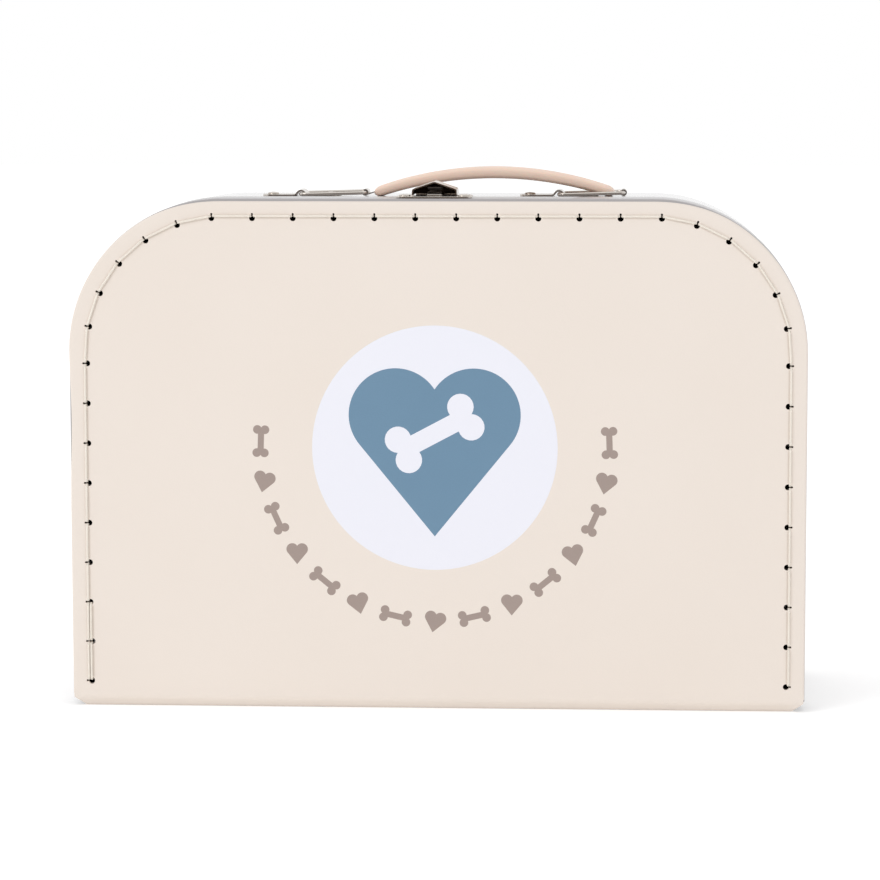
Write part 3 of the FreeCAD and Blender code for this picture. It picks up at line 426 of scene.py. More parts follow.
# The face's outline: it nearly hides the wall's rim, but for the top and one stretch at the left
def faceLoop(half, top, radius, foot):
    grow = caseShape["faceGrow"]
    corner = []
    for step in range(caseShape["arcSteps"] + 1):
        angle = 90 * step / caseShape["arcSteps"]
        share = min(1.0, (90 - angle) / caseShape["growFade"])
        reach = radius + grow * share ** 2 * (3 - 2 * share)
        corner.append((half - radius + reach * math.cos(math.radians(angle)),
                       top - radius + reach * math.sin(math.radians(angle))))
    loop = [(half + grow, foot)] + corner + [(-x, z) for x, z in corner[::-1]]
    for step in range(1, caseShape["bowSteps"]):
        z = top - radius + (foot - top + radius) * step / caseShape["bowSteps"]
        bow = math.exp(-((z - caseShape["bowHeight"]) / caseShape["bowHalf"]) ** 2)
        loop.append((-half - grow * (1 - bow), z))
    return loop + [(-half - grow, foot)]


# A round hole with a nick that the thread has cut towards the edge, its loop running clockwise
def holeLoop(place, outward, shift=0, wide=1):
    across = Vector((-outward.y, outward.x))
    loop = []
    for reach, radius, facing in ((shift, sewing["holeRadius"], 180),
                                  (sewing["nickOut"], sewing["nickRadius"], 0)):
        gap = math.degrees(math.asin(sewing["neck"] / radius))
        sweep = 180 - gap
        for x, z in arcPoints((0, 0), radius, facing + sweep, facing - sweep, sewing["holeSteps"]):
            loop.append(tuple(place + outward * (reach + x) + across * z * (wide if facing else 1)))
    return loop


# A small hole that the thread nearly fills
def tightLoop(place, outward):
    centre = place + outward * sewing["tightShift"]
    return arcPoints(centre, sewing["tightRadius"], 360, 0, sewing["tightSteps"])[:-1]


lidHalf = panelHigh.x
lidTop = panelHigh.z
lidCorner = caseShape["wallCorner"] - (lidWallHigh.x - lidHalf)
foldZ = caseShape["stripHeight"]
foldY = panelLow.y
faceHalf = lidHalf + caseShape["faceGrow"]
lidHoles = sewingHoles(lidHalf, lidTop, lidCorner)
lidWork = bmesh.new()
lidLoops = [faceLoop(lidHalf, lidTop, lidCorner, foldZ + caseShape["foldGap"])]
for index, (place, outward) in enumerate(lidHoles):
    lidLoops.append(holeLoop(place, outward, *sewing["pulled"].get(index, (0, 1))))
addPlate(lidWork, lidLoops, panelLow.y, panelHigh.y,
         [caseShape["lidEdge"]] + [caseShape["holeEdge"]] * len(lidHoles), 1)
lidFace = finishMesh("lidFace", lidWork, [creamBoard, liningPaper])
mountPiece(lidFace, "lid", "face_board", "lid_panel")
print("lid face built")

baseHalf = baseWallHigh.x - (lidWallHigh.x - lidHalf)
baseTop = boardHigh.z
baseCorner = caseShape["wallCorner"] - (lidWallHigh.x - baseHalf)
baseHoles = sewingHoles(baseHalf, baseTop, baseCorner)
baseWork = bmesh.new()
baseLoops = [archLoop(baseHalf, baseTop, baseCorner, caseShape["stripHeight"])]
baseLoops += [tightLoop(place, outward) for place, outward in baseHoles]
addPlate(baseWork, baseLoops, boardHigh.y, boardHigh.y - caseShape["boardThickness"],
         [caseShape["baseEdge"]] + [caseShape["holeEdge"]] * len(baseHoles), 1)

stripSlope = 45
slopeShare = math.sqrt(0.5)


# The folded foot of the base: back strip, bottom and front strip in one sheet, lined inside
def footPath():
    strip = caseShape["stripHeight"]
    half = caseShape["boardThickness"] / 2
    lean = half * math.tan(math.radians(stripSlope / 2))
    bend = caseShape["footBend"]
    steps = caseShape["bendSteps"]
    frontX = foldY + strip + lean + bend * caseShape["bendShare"]
    backX = boardHigh.y - strip - lean - bend * caseShape["bendShare"]
    path = [(foldY + (half + caseShape["foldGap"]) * slopeShare,
             strip + (half - caseShape["foldGap"]) * slopeShare)]
    path += arcPoints((frontX, half + bend), bend, 270 - stripSlope, 270, steps)
    path += arcPoints((backX, half + bend), bend, 270, 270 + stripSlope, steps)
    path.append((boardHigh.y - half * slopeShare,
                 strip + half * slopeShare - caseShape["backTuck"]))
    return path[::-1]


footLine = footPath()


def footHalf(index):
    low = footLine[index][1] - caseShape["boardThickness"] / 2
    wide = faceHalf - caseShape["stripInset"] * (1 - max(low, 0) / caseShape["stripHeight"])
    return min(wide, faceHalf if footLine[index][0] < 0 else baseHalf)


addSheet(baseWork, footLine, caseShape["boardThickness"], footHalf, lambda y, z, x: (x, y, z), 1)
baseBoard = finishMesh("baseBoard", baseWork, [creamBoard, liningPaper])
mountPiece(baseBoard, "base", "face_board", "base_board")
print("base board built")


# Paper skin over the crease, so that the soft fold looks closed
def creaseStrip():
    fold = Vector((foldY, foldZ))
    bend = caseShape["foldBend"]
    lift = caseShape["foldProud"] - caseShape["foldSkin"] / 2
    centre = fold + Vector((bend, bend * math.tan(math.radians(stripSlope / 2))))
    reach = caseShape["foldReach"]
    down = Vector((1, -1)).normalized()
    path = [tuple(fold + down * reach + Vector((-1, -1)).normalized() * lift)]
    path += arcPoints(centre, bend + lift, 180 + stripSlope, 180, caseShape["creaseSteps"])
    path.append(tuple(fold + Vector((-lift, reach))))
    return path


creaseLine = creaseStrip()


def creaseHalf(index):
    drop = max(0.0, foldZ - creaseLine[index][1])
    wide = faceHalf - caseShape["creaseInset"]
    return wide - caseShape["stripInset"] * drop / caseShape["stripHeight"]


creaseWork = bmesh.new()
addSheet(creaseWork, creaseLine, caseShape["foldSkin"], creaseHalf, lambda y, z, x: (x, y, z))
creasePaper = finishMesh("creasePaper", creaseWork, [creamBoard], caseShape["creaseSharp"])
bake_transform(creasePaper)
print("crease built")


def paintOutput(tree, shape, material, outputName):
    plain = addNode(tree, "GeometryNodeRealizeInstances", {"Geometry": shape})
    painted = addNode(tree, "GeometryNodeSetMaterial", {
        "Geometry": plain.outputs["Geometry"], "Material": material})
    addNode(tree, "NodeGroupOutput", {outputName: painted.outputs["Geometry"]})


# Twisted thread along the edges of a host mesh, one chain of edges for each stitch
def threadTree():
    tree = bpy.data.node_groups.new("twistedThread", "GeometryNodeTree")
    sockets = tree.interface
    sockets.new_socket("Stitch Lines", in_out="INPUT", socket_type="NodeSocketGeometry")
    for name in ("Thread Radius", "Ring Spacing", "Twist Pitch", "Strand Depth"):
        sockets.new_socket(name, in_out="INPUT", socket_type="NodeSocketFloat")
    sockets.new_socket("Thread Material", in_out="INPUT", socket_type="NodeSocketMaterial")
    sockets.new_socket("Thread", in_out="OUTPUT", socket_type="NodeSocketGeometry")
    given = addNode(tree, "NodeGroupInput").outputs
    lines = addNode(tree, "GeometryNodeMeshToCurve", {"Mesh": given["Stitch Lines"]})
    smooth = addNode(tree, "GeometryNodeCurveSplineType", {
        "Curve": lines.outputs["Curve"]}, spline_type="CATMULL_ROM")
    rings = addNode(tree, "GeometryNodeResampleCurve", {
        "Curve": smooth.outputs["Curve"], "Length": given["Ring Spacing"]}, mode="LENGTH")
    along = addNode(tree, "GeometryNodeSplineParameter")
    turns = mathNode(tree, "DIVIDE", along.outputs["Length"], given["Twist Pitch"])
    twist = mathNode(tree, "MULTIPLY", turns, 2 * math.pi)
    twisted = addNode(tree, "GeometryNodeSetCurveTilt", {
        "Curve": rings.outputs["Curve"], "Tilt": twist})
    circle = addNode(tree, "GeometryNodeCurvePrimitiveCircle", {
        "Resolution": sewing["threadSides"], "Radius": given["Thread Radius"]})
    around = addNode(tree, "GeometryNodeSplineParameter")
    phase = mathNode(tree, "MULTIPLY", around.outputs["Factor"], 2 * math.pi * sewing["strands"])
    wave = mathNode(tree, "COSINE", phase)
    swell = mathNode(tree, "MULTIPLY_ADD", wave, given["Strand Depth"], sewing["strandCore"])
    spot = addNode(tree, "GeometryNodeInputPosition")
    lobe = addNode(tree, "ShaderNodeVectorMath", {
        0: spot.outputs[0], "Scale": swell}, operation="SCALE")
    profile = addNode(tree, "GeometryNodeSetPosition", {
        "Geometry": circle.outputs["Curve"], "Position": lobe.outputs[0]})
    tube = addNode(tree, "GeometryNodeCurveToMesh", {
        "Curve": twisted.outputs["Curve"], "Profile Curve": profile.outputs["Geometry"],
        "Fill Caps": True})
    paintOutput(tree, tube.outputs["Mesh"], given["Thread Material"], "Thread")
    return tree


# Copies of one small shape, set at the points of a host mesh and turned by its "turn" values
def copyTree():
    tree = bpy.data.node_groups.new("placedCopies", "GeometryNodeTree")
    sockets = tree.interface
    sockets.new_socket("Places", in_out="INPUT", socket_type="NodeSocketGeometry")
    sockets.new_socket("Shape", in_out="INPUT", socket_type="NodeSocketObject")
    sockets.new_socket("Shape Material", in_out="INPUT", socket_type="NodeSocketMaterial")
    sockets.new_socket("Copies", in_out="OUTPUT", socket_type="NodeSocketGeometry")
    given = addNode(tree, "NodeGroupInput").outputs
    shape = addNode(tree, "GeometryNodeObjectInfo", {"Object": given["Shape"]})
    turn = addNode(tree, "GeometryNodeInputNamedAttribute", {
        "Name": "turn"}, data_type="FLOAT_VECTOR")
    dots = addNode(tree, "GeometryNodeMeshToPoints", {"Mesh": given["Places"]})
    copies = addNode(tree, "GeometryNodeInstanceOnPoints", {
        "Points": dots.outputs["Points"], "Instance": shape.outputs["Geometry"],
        "Rotation": turn.outputs["Attribute"]})
    paintOutput(tree, copies.outputs["Instances"], given["Shape Material"], "Copies")
    return tree


def grownPiece(name, host, tree, values):
    piece = bpy.data.objects.new(name, host)
    scene.collection.objects.link(piece)
    modifier = piece.modifiers.new(tree.name, "NODES")
    modifier.node_group = tree
    for socket in tree.interface.items_tree:
        if socket.in_out == "INPUT" and socket.name in values:
            modifier[socket.identifier] = values[socket.name]
    return plainMesh(piece)


def placedCopies(name, shape, places, material, tree):
    host = bpy.data.meshes.new(name)
    host.from_pydata([place for place, turn in places], [], [])
    turns = host.attributes.new("turn", "FLOAT_VECTOR", "POINT")
    for index, (place, turn) in enumerate(places):
        turns.data[index].vector = turn
    piece = grownPiece(name, host, tree, {"Shape": shape, "Shape Material": material})
    piece.data.set_sharp_from_angle(angle=math.radians(meshCare["sharpAngle"]))
    return piece


# One stitch from hole to hole: down into both holes, lying on the board in between
def stitchPoints(start, end, faceY, outSign, inward):
    along = (end - start).normalized()
    side = Vector((-along.y, along.x))
    heights = [(0, -sewing["legDepth"]), *sewing["legBend"]]
    heights += [(reach, share * sewing["threadRadius"]) for reach, share in sewing["riseShares"]]
    line = []
    for origin, direction, order in ((start, along, 1), (end, -along, -1)):
        for offset, lift in heights[::order]:
            spot = origin + direction * (sewing["legPlace"] + offset) + side * inward
            line.append((spot.x, faceY + outSign * lift, spot.y))
    return line


def stitchHost(name, lines):
    points = []
    edges = []
    for line in lines:
        first = len(points)
        points += line
        edges += [(first + index, first + index + 1) for index in range(len(line) - 1)]
    host = bpy.data.meshes.new(name)
    host.from_pydata(points, edges, [])
    return host


twistedThread = threadTree()
threadValues = {"Thread Radius": sewing["threadRadius"], "Ring Spacing": sewing["ringSpacing"],
                "Twist Pitch": sewing["twistPitch"], "Strand Depth": sewing["strandDepth"],
                "Thread Material": cottonThread}


def threadLine(holes):
    return [place + outward * sewing["threadOut"] for place, outward in holes]


# One thread's row of stitches, from hole to hole along its own side of the sewn boards
def sewnThread(name, holes, faceY, outSign, doubled):
    line = threadLine(holes)
    lines = []
    for index, (start, end) in enumerate(zip(line, line[1:])):
        lines.append(stitchPoints(start, end, faceY, outSign, 0))
        if index in doubled:
            lines.append(stitchPoints(start, end, faceY, outSign, -sewing["doubleStep"]))
    return grownPiece(name, stitchHost(name, lines), twistedThread, threadValues)


lidFlangeY = lidWallLow.y + sewing["flange"]
baseFlangeY = baseWallHigh.y - sewing["flange"]
for name, holes, faceY, outSign, doubled, body, node in (
        ("lidThread", lidHoles, panelLow.y, -1, sewing["doubled"], "lid", "lid_thread"),
        ("lidUnderThread", lidHoles, lidFlangeY, 1, (), "lid", "lid_under_thread"),
        ("baseThread", baseHoles, boardHigh.y, 1, (), "base", "base_thread"),
        ("baseUnderThread", baseHoles, baseFlangeY, -1, (), "base", "base_under_thread")):
    thread = sewnThread(name, holes, faceY, outSign, doubled)
    mountPiece(thread, body, "sewing_thread", node)
print("threads sewn")

printing = {
    "discRadius": 50 * mm,
    "discSteps": 96,
    "discCentre": (-0.6 * mm, 108 * mm),
    "film": 0.02 * mm,
    "edgeShare": 0.4,
    "heartSize": 35 * mm,
    "heartRise": 3 * mm,
    "boneSize": 20 * mm,
    "boneRise": 6 * mm,
    "boneTurn": 28,
    "smallBone": 6.6 * mm,
    "smallHeart": 4.4 * mm,
    "swing": 0.25,
    "swingPace": 2.1,
    "garlandRadius": 71 * mm,
    "garlandCount": 15,
    "garlandStart": 178,
    "garlandEnd": 362,
}
boneShares = {"bar": 0.19, "lobe": 0.27, "apart": 0.235, "end": 0.72, "leastGap": 0.002}
heartShares = {"lobe": 0.545, "apart": 0.455, "rise": 0.3, "tip": -1.12}
lobeSteps = {"bone": 16, "heart": 40}


# A bone of half length one: two pairs of lobes on a straight bar
def boneLoop(size):
    bar, lobe, apart, end, leastGap = boneShares.values()
    meet = end - math.sqrt(lobe ** 2 - (apart - bar) ** 2)
    notch = math.sqrt(lobe ** 2 - apart ** 2)
    first = math.degrees(math.atan2(bar - apart, meet - end))
    last = math.degrees(math.atan2(-apart, notch))
    upper = arcPoints((end, apart), lobe, last, first + 360, lobeSteps["bone"])
    half = upper + [(-x, z) for x, z in upper[::-1]]
    cleaned = []
    for point in half + [(-x, -z) for x, z in half]:
        if not cleaned or math.dist(point, cleaned[-1]) > leastGap:
            cleaned.append(point)
    if math.dist(cleaned[0], cleaned[-1]) < leastGap:
        cleaned.pop()
    return [(x * size, z * size) for x, z in cleaned]


# A heart of half width one: two round lobes and two straight sides down to a point
def heartLoop(size):
    lobe, apart, rise, tip = heartShares.values()
    reach = math.hypot(apart, tip - rise)
    lean = math.degrees(math.atan2(tip - rise, -apart) + math.acos(lobe / reach))
    notch = math.degrees(math.acos(-apart / lobe))
    start = lean - 360 if lean > 180 else lean
    right = arcPoints((apart, rise), lobe, start, notch, lobeSteps["heart"])
    loop = [(0, tip)] + right + [(-x, z) for x, z in right[::-1][1:]]
    return [(x * size, z * size) for x, z in loop]


def turned(loop, degrees, centre):
    spin = Matrix.Rotation(math.radians(degrees), 2)
    return [tuple(spin @ Vector(point) + Vector(centre)) for point in loop]


# A thin film laid on the lid's face: printed ink, and also the painted shade beside the stitches
def printAndShadeFilm(name, loops, height, material):
    work = bmesh.new()
    film = printing["film"]
    for loop in loops:
        addPlate(work, [loop], panelLow.y - film * height, panelLow.y + film,
                 [film * printing["edgeShare"]])
    return finishMesh(name, work, [material])


discX, discZ = printing["discCentre"]
disc = arcPoints((discX, discZ), printing["discRadius"], 0, 360, printing["discSteps"])[:-1]
heart = turned(heartLoop(printing["heartSize"]), 0, (discX, discZ + printing["heartRise"]))
bone = turned(boneLoop(printing["boneSize"]), printing["boneTurn"],
              (discX, discZ + printing["boneRise"]))
for name, loop, height, material in (
        ("printedDisc", disc, 1, whiteInk), ("printedHeart", heart, 2, blueInk),
        ("printedBone", bone, 3, whiteInk)):
    mountPiece(printAndShadeFilm(name, [loop], height, material), "lid", "face_board")
placeTree = copyTree()
garland = {"bone": [], "heart": []}
for index in range(printing["garlandCount"]):
    share = index / (printing["garlandCount"] - 1)
    sweep = printing["garlandEnd"] - printing["garlandStart"]
    angle = math.radians(printing["garlandStart"] + sweep * share)
    spot = (discX + printing["garlandRadius"] * math.cos(angle), 0,
            discZ + printing["garlandRadius"] * math.sin(angle))
    if index % 2 == 0:
        garland["bone"].append((spot, (0, math.pi / 2 - angle, 0)))
    else:
        lean = printing["swing"] * math.sin(index * printing["swingPace"])
        garland["heart"].append((spot, (0, lean, 0)))
for kind, loop in (("bone", boneLoop(printing["smallBone"])),
                   ("heart", heartLoop(printing["smallHeart"]))):
    motif = printAndShadeFilm(kind + "Motif", [loop], 1, taupeInk)
    trail = placedCopies(kind + "Garland", motif, garland[kind], taupeInk, placeTree)
    bpy.data.objects.remove(motif)
    mountPiece(trail, "lid", "face_board")
print("print laid on")

stitchShadeStrip = {"away": 0.3 * mm, "half": 0.3 * mm, "holeGap": 1.7 * mm, "height": 0.6}


# A narrow strip of painted shade beside each stitch of the lid, on the side towards the middle of
# the board, where the thread's shadow falls
def stitchShadeLoops():
    line = threadLine(lidHoles)
    loops = []
    for index, (start, end) in enumerate(zip(line, line[1:])):
        along = (end - start).normalized()
        inward = Vector((along.y, -along.x))
        away = sewing["threadRadius"] + stitchShadeStrip["away"]
        if index in sewing["doubled"]:
            away += sewing["doubleStep"]
        gap = along * stitchShadeStrip["holeGap"]
        near = inward * (away - stitchShadeStrip["half"])
        far = inward * (away + stitchShadeStrip["half"])
        corners = (start + gap + near, start + gap + far, end - gap + far, end - gap + near)
        loops.append([tuple(corner) for corner in corners])
    return loops


# The strips are a thin film in the darker cream, painted shade along the inner side of the stitches
stitchMarks = printAndShadeFilm("stitchMarks", stitchShadeLoops(), stitchShadeStrip["height"], stitchShadeBoard)
mountPiece(stitchMarks, "lid", "face_board")
print("stitch marks pressed")

rivetShape = {
    "headRadius": 2.4 * mm,
    "dome": 0.9 * mm,
    "domeSteps": 6,
    "rim": 0.25 * mm,
    "seatShare": 0.97,
    "shankRadius": 1.2 * mm,
    "tailRadius": 1.9 * mm,
    "tailShare": 0.8,
    "tailRim": 0.5 * mm,
    "tailEnd": 0.6 * mm,
    "turns": 28,
    "sharpAngle": 50,
    "bracketSpan": 24.5 * mm,
    "bracketGrip": 2.6 * mm,
    "plateGrip": 2.4 * mm,
}


# A domed rivet turned about its axis, its head's seat at zero and its set tail below
def rivetTemplate(grip):
    head = rivetShape["headRadius"]
    rim = rivetShape["rim"]
    shank = rivetShape["shankRadius"]
    tail = rivetShape["tailRadius"]
    profile = [(0, rivetShape["dome"])]
    for step in range(1, rivetShape["domeSteps"] + 1):
        angle = step / rivetShape["domeSteps"] * math.pi / 2
        profile.append((head * math.sin(angle),
                        rim + (rivetShape["dome"] - rim) * math.cos(angle)))
    profile += [(head * rivetShape["seatShare"], 0), (shank, 0), (shank, -grip), (tail, -grip),
                (tail * rivetShape["tailShare"], -grip - rivetShape["tailRim"]),
                (0, -grip - rivetShape["tailEnd"])]
    work = bmesh.new()
    line = [work.verts.new((radius, 0, height)) for radius, height in profile]
    edges = [work.edges.new(pair) for pair in zip(line, line[1:])]
    bmesh.ops.spin(work, geom=line + edges, cent=(0, 0, 0), axis=(0, 0, 1), angle=2 * math.pi,
                   steps=rivetShape["turns"], use_merge=True)
    return finishMesh("rivetTemplate", work, [nickelPlate], rivetShape["sharpAngle"])


def rivetRow(name, places, grip, body, *nodes):
    template = rivetTemplate(grip)
    upright = [(place, (0, 0, 0)) for place in places]
    row = placedCopies(name, template, upright, nickelPlate, placeTree)
    bpy.data.objects.remove(template)
    mountPiece(row, body, "nickel", *nodes)


def rivetPlaces(node):
    low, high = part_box(node)
    seat = high.z - rivetShape["dome"]
    middle = (low.y + high.y) / 2
    return [(low.x + rivetShape["headRadius"], middle, seat),
            (high.x - rivetShape["headRadius"], middle, seat)]


bracketPlaces = []
for place in rivetPlaces("bracket_rivets"):
    step = math.copysign(rivetShape["bracketSpan"], -place[0])
    bracketPlaces += [place, (place[0] + step, place[1], place[2])]
for name, node, places, grip, body in (
        ("bracketRivets", "bracket_rivets", bracketPlaces, "bracketGrip", "base"),
        ("hingePlateRivets", "hinge_plate_rivets", rivetPlaces("hinge_plate_rivets"), "plateGrip",
         "base"),
        ("catchRivets", "catch_rivets", rivetPlaces("catch_rivets"), "plateGrip", "lid")):
    rivetRow(name, places, rivetShape[grip], body, node)
print("rivets set")

bracketShape = {
    "half": 16.5 * mm,
    "sheet": 0.8 * mm,
    "width": 13 * mm,
    "endCorner": 5.5 * mm,
    "archCentre": 0.45 * mm,
    "archRadius": 1.9 * mm,
    "flareRadius": 2.0 * mm,
    "endSteps": 8,
    "flareSteps": 6,
    "archSteps": 16,
    "softEdge": 0.18 * mm,
}


# Middle line of one bracket: flat foot, flare, arch over the ring, flare, flat foot
def bracketPath():
    low = bracketShape["sheet"] / 2
    flare = bracketShape["flareRadius"]
    arch = bracketShape["archRadius"]
    lift = low + flare - bracketShape["archCentre"]
    flareX = math.sqrt((flare + arch) ** 2 - lift ** 2)
    lean = math.degrees(math.asin(lift / (flare + arch)))
    foot = []
    for step in range(bracketShape["endSteps"] + 1):
        angle = math.radians(90 * step / bracketShape["endSteps"])
        inset = bracketShape["endCorner"] * (1 - math.cos(angle))
        foot.append((-bracketShape["half"] + inset, low))
    rise = arcPoints((-flareX, low + flare), flare, 270, 360 - lean, bracketShape["flareSteps"])
    crown = arcPoints((0, bracketShape["archCentre"]), arch, 180 - lean, lean,
                      bracketShape["archSteps"])
    half = foot + rise
    return half + crown[1:-1] + [(-x, z) for x, z in half[::-1]]


bracketLine = bracketPath()


def bracketHalf(index):
    reach = bracketShape["half"] - abs(bracketLine[index][0])
    corner = bracketShape["endCorner"]
    narrow = corner - math.sqrt(max(corner ** 2 - (corner - min(reach, corner)) ** 2, 0))
    return bracketShape["width"] / 2 - narrow


for name, node in (("leftBracket", "handle_bracket_left"),
                   ("rightBracket", "handle_bracket_right")):
    low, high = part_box(node)
    middle = (low + high) / 2
    work = bmesh.new()
    addSheet(work, bracketLine, bracketShape["sheet"], bracketHalf,
             lambda x, z, y: (middle.x + x, middle.y + y, low.z + z))
    bracket = softenEdges(finishMesh(name, work, [nickelPlate]), bracketShape["softEdge"])
    mountPiece(bracket, "base", "nickel", node)
print("brackets bent")

gripShape = {
    "width": 14.4 * mm,
    "middle": 5.0 * mm,
    "end": 4.4 * mm,
    "bowRadius": 150 * mm,
    "wallGap": 0.15 * mm,
    "rings": 72,
    "sides": 32,
    "endRound": 3.2 * mm,
    "leastTip": 0.0004,
    "squareness": 3.2,
    "sharpAngle": 70,
}


# One coordinate of a rounded square of half width one, between a circle's and a square's
def pillow(value):
    return math.copysign(abs(value) ** (2 / gripShape["squareness"]), value)


# The moulded grip: an arched bar with a pillow section, its rounded ends lying flat on the wall
def gripMesh():
    low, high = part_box("handle_grip")
    centreX = (low.x + high.x) / 2
    centreY = (low.y + high.y) / 2
    half = (high.x - low.x) / 2
    crown = high.z - gripShape["middle"] / 2
    floorZ = baseWallHigh.z + gripShape["wallGap"]
    radius = gripShape["bowRadius"]
    work = bmesh.new()
    rings = []
    for ring in range(gripShape["rings"] + 1):
        share = -math.cos(math.pi * ring / gripShape["rings"])
        x = half * share
        tangent = math.asin(x / radius)
        z = crown - radius * (1 - math.cos(tangent))
        left = (half - abs(x)) / gripShape["endRound"]
        shrink = 1 if left >= 1 else math.sqrt(max(1 - (1 - left) ** 2, gripShape["leastTip"]))
        height = gripShape["middle"] + (gripShape["end"] - gripShape["middle"]) * share ** 2
        thick = height / 2 * shrink
        wide = gripShape["width"] / 2 - gripShape["endRound"] * (1 - shrink)
        loop = []
        for side in range(gripShape["sides"]):
            angle = 2 * math.pi * side / gripShape["sides"]
            across = pillow(math.cos(angle)) * wide
            up = pillow(math.sin(angle)) * thick
            loop.append(work.verts.new((
                centreX + x + up * math.sin(tangent), centreY + across,
                max(floorZ, z + up * math.cos(tangent)))))
        rings.append(loop)
    for first, second in zip(rings, rings[1:]):
        for side in range(gripShape["sides"]):
            work.faces.new((first[side - 1], first[side], second[side], second[side - 1]))
    work.faces.new(rings[0])
    work.faces.new(rings[-1])
    return finishMesh("handleGrip", work, [gripPlastic], gripShape["sharpAngle"])


mountPiece(gripMesh(), "handle", "grip_plastic", "handle_grip")
print("grip moulded")

haspShape = {
    "lift": 1.1 * mm,
    "eaves": 2.2 * mm,
    "height": 5.5 * mm,
    "sheet": 0.5 * mm,
    "length": 15 * mm,
    "eavesRound": 0.9 * mm,
    "ridgeRound": 1.6 * mm,
    "ridgeShare": 0.54,
    "bendSteps": 5,
    "plateEdge": 0.05 * mm,
    "knuckleRadius": 1.45 * mm,
    "knuckleHalf": 4 * mm,
    "rollEnd": -200,
    "rollSteps": 24,
    "softEdge": 0.12 * mm,
}


# A corner of a bent path, rounded between its two neighbours
def roundCorner(before, corner, after, radius, steps):
    first = (Vector(before) - Vector(corner)).normalized()
    second = (Vector(after) - Vector(corner)).normalized()
    half = math.acos(max(-1.0, min(1.0, first.dot(second)))) / 2
    reach = radius / math.tan(half)
    points = []
    for step in range(steps + 1):
        share = step / steps
        start = Vector(corner) + first * reach * (1 - share)
        points.append(tuple(start.lerp(Vector(corner) + second * reach * share, share)))
    return points


# The pressed hasp: a gabled cover open to the front, its back plate, and a tongue rolled round
# the pin
def haspMesh():
    low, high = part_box("latch_hasp")
    pin = jointPlaces["hasp_lift"]
    sheet = haspShape["sheet"]
    half = (high.x - low.x) / 2 - sheet / 2
    foot = lidWallHigh.z + haspShape["lift"]
    eaves = foot + haspShape["eaves"]
    ridge = foot + haspShape["height"] - sheet * haspShape["ridgeShare"]
    back = low.y + haspShape["length"]
    middle = low.y + haspShape["length"] / 2
    corners = [(-half, foot), (-half, eaves), (0, ridge), (half, eaves), (half, foot)]
    path = [corners[0]]
    for index, bend in ((1, "eavesRound"), (2, "ridgeRound"), (3, "eavesRound")):
        path += roundCorner(*corners[index - 1:index + 2], haspShape[bend], haspShape["bendSteps"])
    path.append(corners[4])
    work = bmesh.new()
    # The cover's inner side and the back plate's inner face take the dark brown steel as painted
    # shade
    addSheet(work, path, sheet, lambda index: haspShape["length"] / 2,
             lambda x, z, y: (pin.x + x, middle + y, z), 1)
    outline = [(pin.x + x, z) for x, z in path[::-1]]
    addPlate(work, [outline], back, back - sheet, [haspShape["plateEdge"]], 1)
    tongueZ = pin.z + haspShape["knuckleRadius"]
    roll = [(back - sheet / 2, tongueZ)]
    roll += arcPoints((pin.y, pin.z), haspShape["knuckleRadius"], 90, haspShape["rollEnd"],
                      haspShape["rollSteps"])
    addSheet(work, roll, sheet, lambda index: haspShape["knuckleHalf"],
             lambda y, z, x: (pin.x + x, y, z))
    hasp = finishMesh("latchHasp", work, [nickelPlate, haspInsideShade])
    return softenEdges(hasp, haspShape["softEdge"])


mountPiece(haspMesh(), "hasp", "nickel", "latch_hasp")
print("hasp pressed")

plateShape = {
    "flatAngle": 1,
    "softEdge": 0.22 * mm,
    "edgeSegments": 3,
}


# A plate of the latch with its cut edges rounded off
def softPlate(name, node):
    source = frame["nodes"][node]
    work = bmesh.new()
    work.from_mesh(source.data)
    work.transform(source.matrix_world)
    bmesh.ops.remove_doubles(work, verts=work.verts, dist=meshCare["mergeGap"])
    bmesh.ops.dissolve_limit(work, angle_limit=math.radians(plateShape["flatAngle"]),
                             verts=work.verts, edges=work.edges)
    for face in work.faces:
        face.material_index = 0
    plate = finishMesh(name, work, [nickelPlate])
    return softenEdges(plate, plateShape["softEdge"], plateShape["edgeSegments"])


for name, node, body in (("latchCatch", "latch_catch", "lid"),
                         ("latchHingePlate", "latch_hinge_plate", "base")):
    mountPiece(softPlate(name, node), body, "nickel", node)
print("latch plates rounded")

cadFinishes = {
    "wall_board": (greyBoard, ("lid_wall", "base_wall")),
    "nickel": (nickelPlate, (
        "handle_ring_left", "handle_ring_right", "bracket_washers", "handle_strap",
        "hinge_plate_washers", "latch_pin", "catch_washers")),
    "spring_steel": (springSteel, ("latch_spring",)),
}
for slotName, (material, names) in cadFinishes.items():
    for name in names:
        node = frame["nodes"][name]
        node.data.materials.clear()
        node.data.materials.append(material)
print("hardware finished")

studio = {
    "floorSize": 12.0,
    "floorCuts": 4,
    "paper": "f6f6f6",
    "ambient": 0.84,
    "floorGlow": 0.34,
    "floorBounce": 0.17,
    "dimFrom": -0.4,
    "dimTo": -1.2,
    "keyPlace": (-2.3, -2.6, 2.6),
    "keySize": 1.6,
    "keyPower": 29,
    "keyAim": (0, 0, 0.1),
    "darkSide": "4e3c2e",
    "darkFront": (-0.1, -0.5),
    "darkUnder": (0.3, 0.65),
}


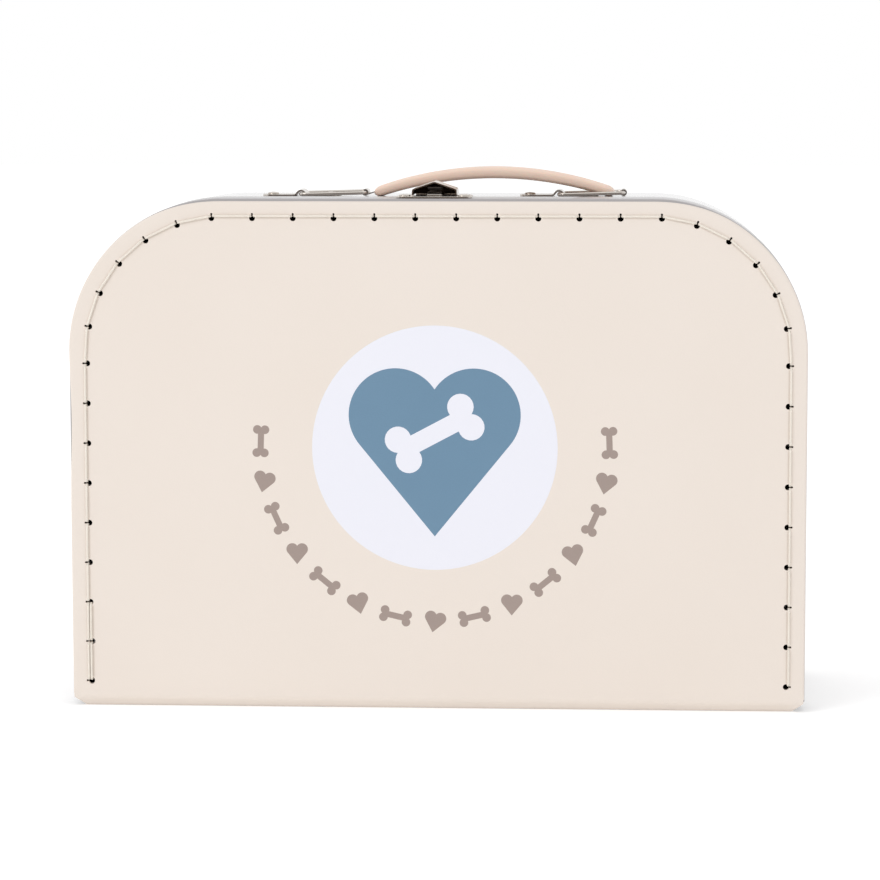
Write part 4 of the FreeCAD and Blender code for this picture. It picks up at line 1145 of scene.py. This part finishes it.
# Camera rays see the paper sweep a little brighter, so that it runs into the white behind it;
# in mirrors it grows dim towards the front, where the room is dark
def buildFloor():
    bpy.ops.mesh.primitive_grid_add(size=studio["floorSize"], x_subdivisions=studio["floorCuts"],
                                    y_subdivisions=studio["floorCuts"])
    floor = bpy.context.object
    floor.name = "studioFloor"
    material, tree = newMaterial("paperSweep")
    path = addNode(tree, "ShaderNodeLightPath")
    spot = addNode(tree, "ShaderNodeSeparateXYZ", {
        "Vector": addNode(tree, "ShaderNodeTexCoord").outputs["Object"]})
    ahead = addNode(tree, "ShaderNodeMapRange", {
        "Value": spot.outputs["Y"], "From Min": studio["dimFrom"], "From Max": studio["dimTo"]})
    mirrored = mathNode(tree, "MULTIPLY", ahead.outputs[0], path.outputs["Is Glossy Ray"])
    tint = addNode(tree, "ShaderNodeMix", {
        "Factor": mirrored, "A": linear(studio["paper"]), "B": linear(studio["darkSide"])},
        data_type="RGBA")
    glow = addNode(tree, "ShaderNodeMapRange", {
        "Value": path.outputs["Is Camera Ray"], "To Min": studio["floorBounce"],
        "To Max": studio["floorGlow"]})
    paper = addNode(tree, "ShaderNodeBsdfPrincipled", {
        "Base Color": tint.outputs["Result"], "Roughness": 1.0, "Specular IOR Level": 0.0,
        "Emission Color": tint.outputs["Result"], "Emission Strength": glow.outputs[0]})
    addNode(tree, "ShaderNodeOutputMaterial", {"Surface": paper.outputs["BSDF"]})
    floor.data.materials.append(material)
    return floor


# A soft white dome; mirrors facing the front see its dim side, where nothing is lit
def buildSky():
    world = bpy.data.worlds.new("softStudio")
    world.use_nodes = True
    scene.world = world
    tree = world.node_tree
    tree.nodes.clear()
    path = addNode(tree, "ShaderNodeLightPath")
    heading = addNode(tree, "ShaderNodeSeparateXYZ", {
        "Vector": addNode(tree, "ShaderNodeTexCoord").outputs["Generated"]})
    frontFrom, frontTo = studio["darkFront"]
    front = addNode(tree, "ShaderNodeMapRange", {
        "Value": heading.outputs["Y"], "From Min": frontFrom, "From Max": frontTo})
    underFrom, underTo = studio["darkUnder"]
    under = addNode(tree, "ShaderNodeMapRange", {
        "Value": heading.outputs["Z"], "From Min": underFrom, "From Max": underTo,
        "To Min": 1.0, "To Max": 0.0})
    dim = mathNode(tree, "MULTIPLY", front.outputs[0], under.outputs[0])
    mirrored = mathNode(tree, "MULTIPLY", dim, path.outputs["Is Glossy Ray"])
    colour = addNode(tree, "ShaderNodeMix", {
        "Factor": mirrored, "A": (1, 1, 1, 1), "B": linear(studio["darkSide"])},
        data_type="RGBA")
    direct = mathNode(tree, "MAXIMUM", path.outputs["Is Camera Ray"],
                      path.outputs["Is Glossy Ray"])
    level = addNode(tree, "ShaderNodeMapRange", {
        "Value": direct, "To Min": studio["ambient"], "To Max": 1.0})
    sky = addNode(tree, "ShaderNodeBackground", {
        "Color": colour.outputs["Result"], "Strength": level.outputs["Result"]})
    addNode(tree, "ShaderNodeOutputWorld", {"Surface": sky.outputs["Background"]})


def buildStudio():
    light = bpy.data.lights.new("keyLight", "AREA")
    light.energy = studio["keyPower"]
    light.size = studio["keySize"]
    lamp = bpy.data.objects.new("keyLight", light)
    lamp.location = studio["keyPlace"]
    aim = Vector(studio["keyAim"]) - lamp.location
    lamp.rotation_euler = aim.to_track_quat("-Z", "Y").to_euler()
    scene.collection.objects.link(lamp)
    buildFloor()
    buildSky()


buildStudio()

cameraView = {
    "place": (87.384 * mm, -1434.598 * mm, 273.424 * mm),
    "turn": (83.3483, 0.0979, 3.5277),
    "lens": 140.91,
    "sensor": 36,
    "nearest": 50 * mm,
}
lens = bpy.data.cameras.new("photoCamera")
lens.lens = cameraView["lens"]
lens.sensor_width = cameraView["sensor"]
lens.clip_start = cameraView["nearest"]
camera = bpy.data.objects.new("photoCamera", lens)
camera.location = cameraView["place"]
camera.rotation_euler = [math.radians(angle) for angle in cameraView["turn"]]
scene.collection.objects.link(camera)
scene.camera = camera
scene.view_settings.view_transform = "Standard"
print("studio set")
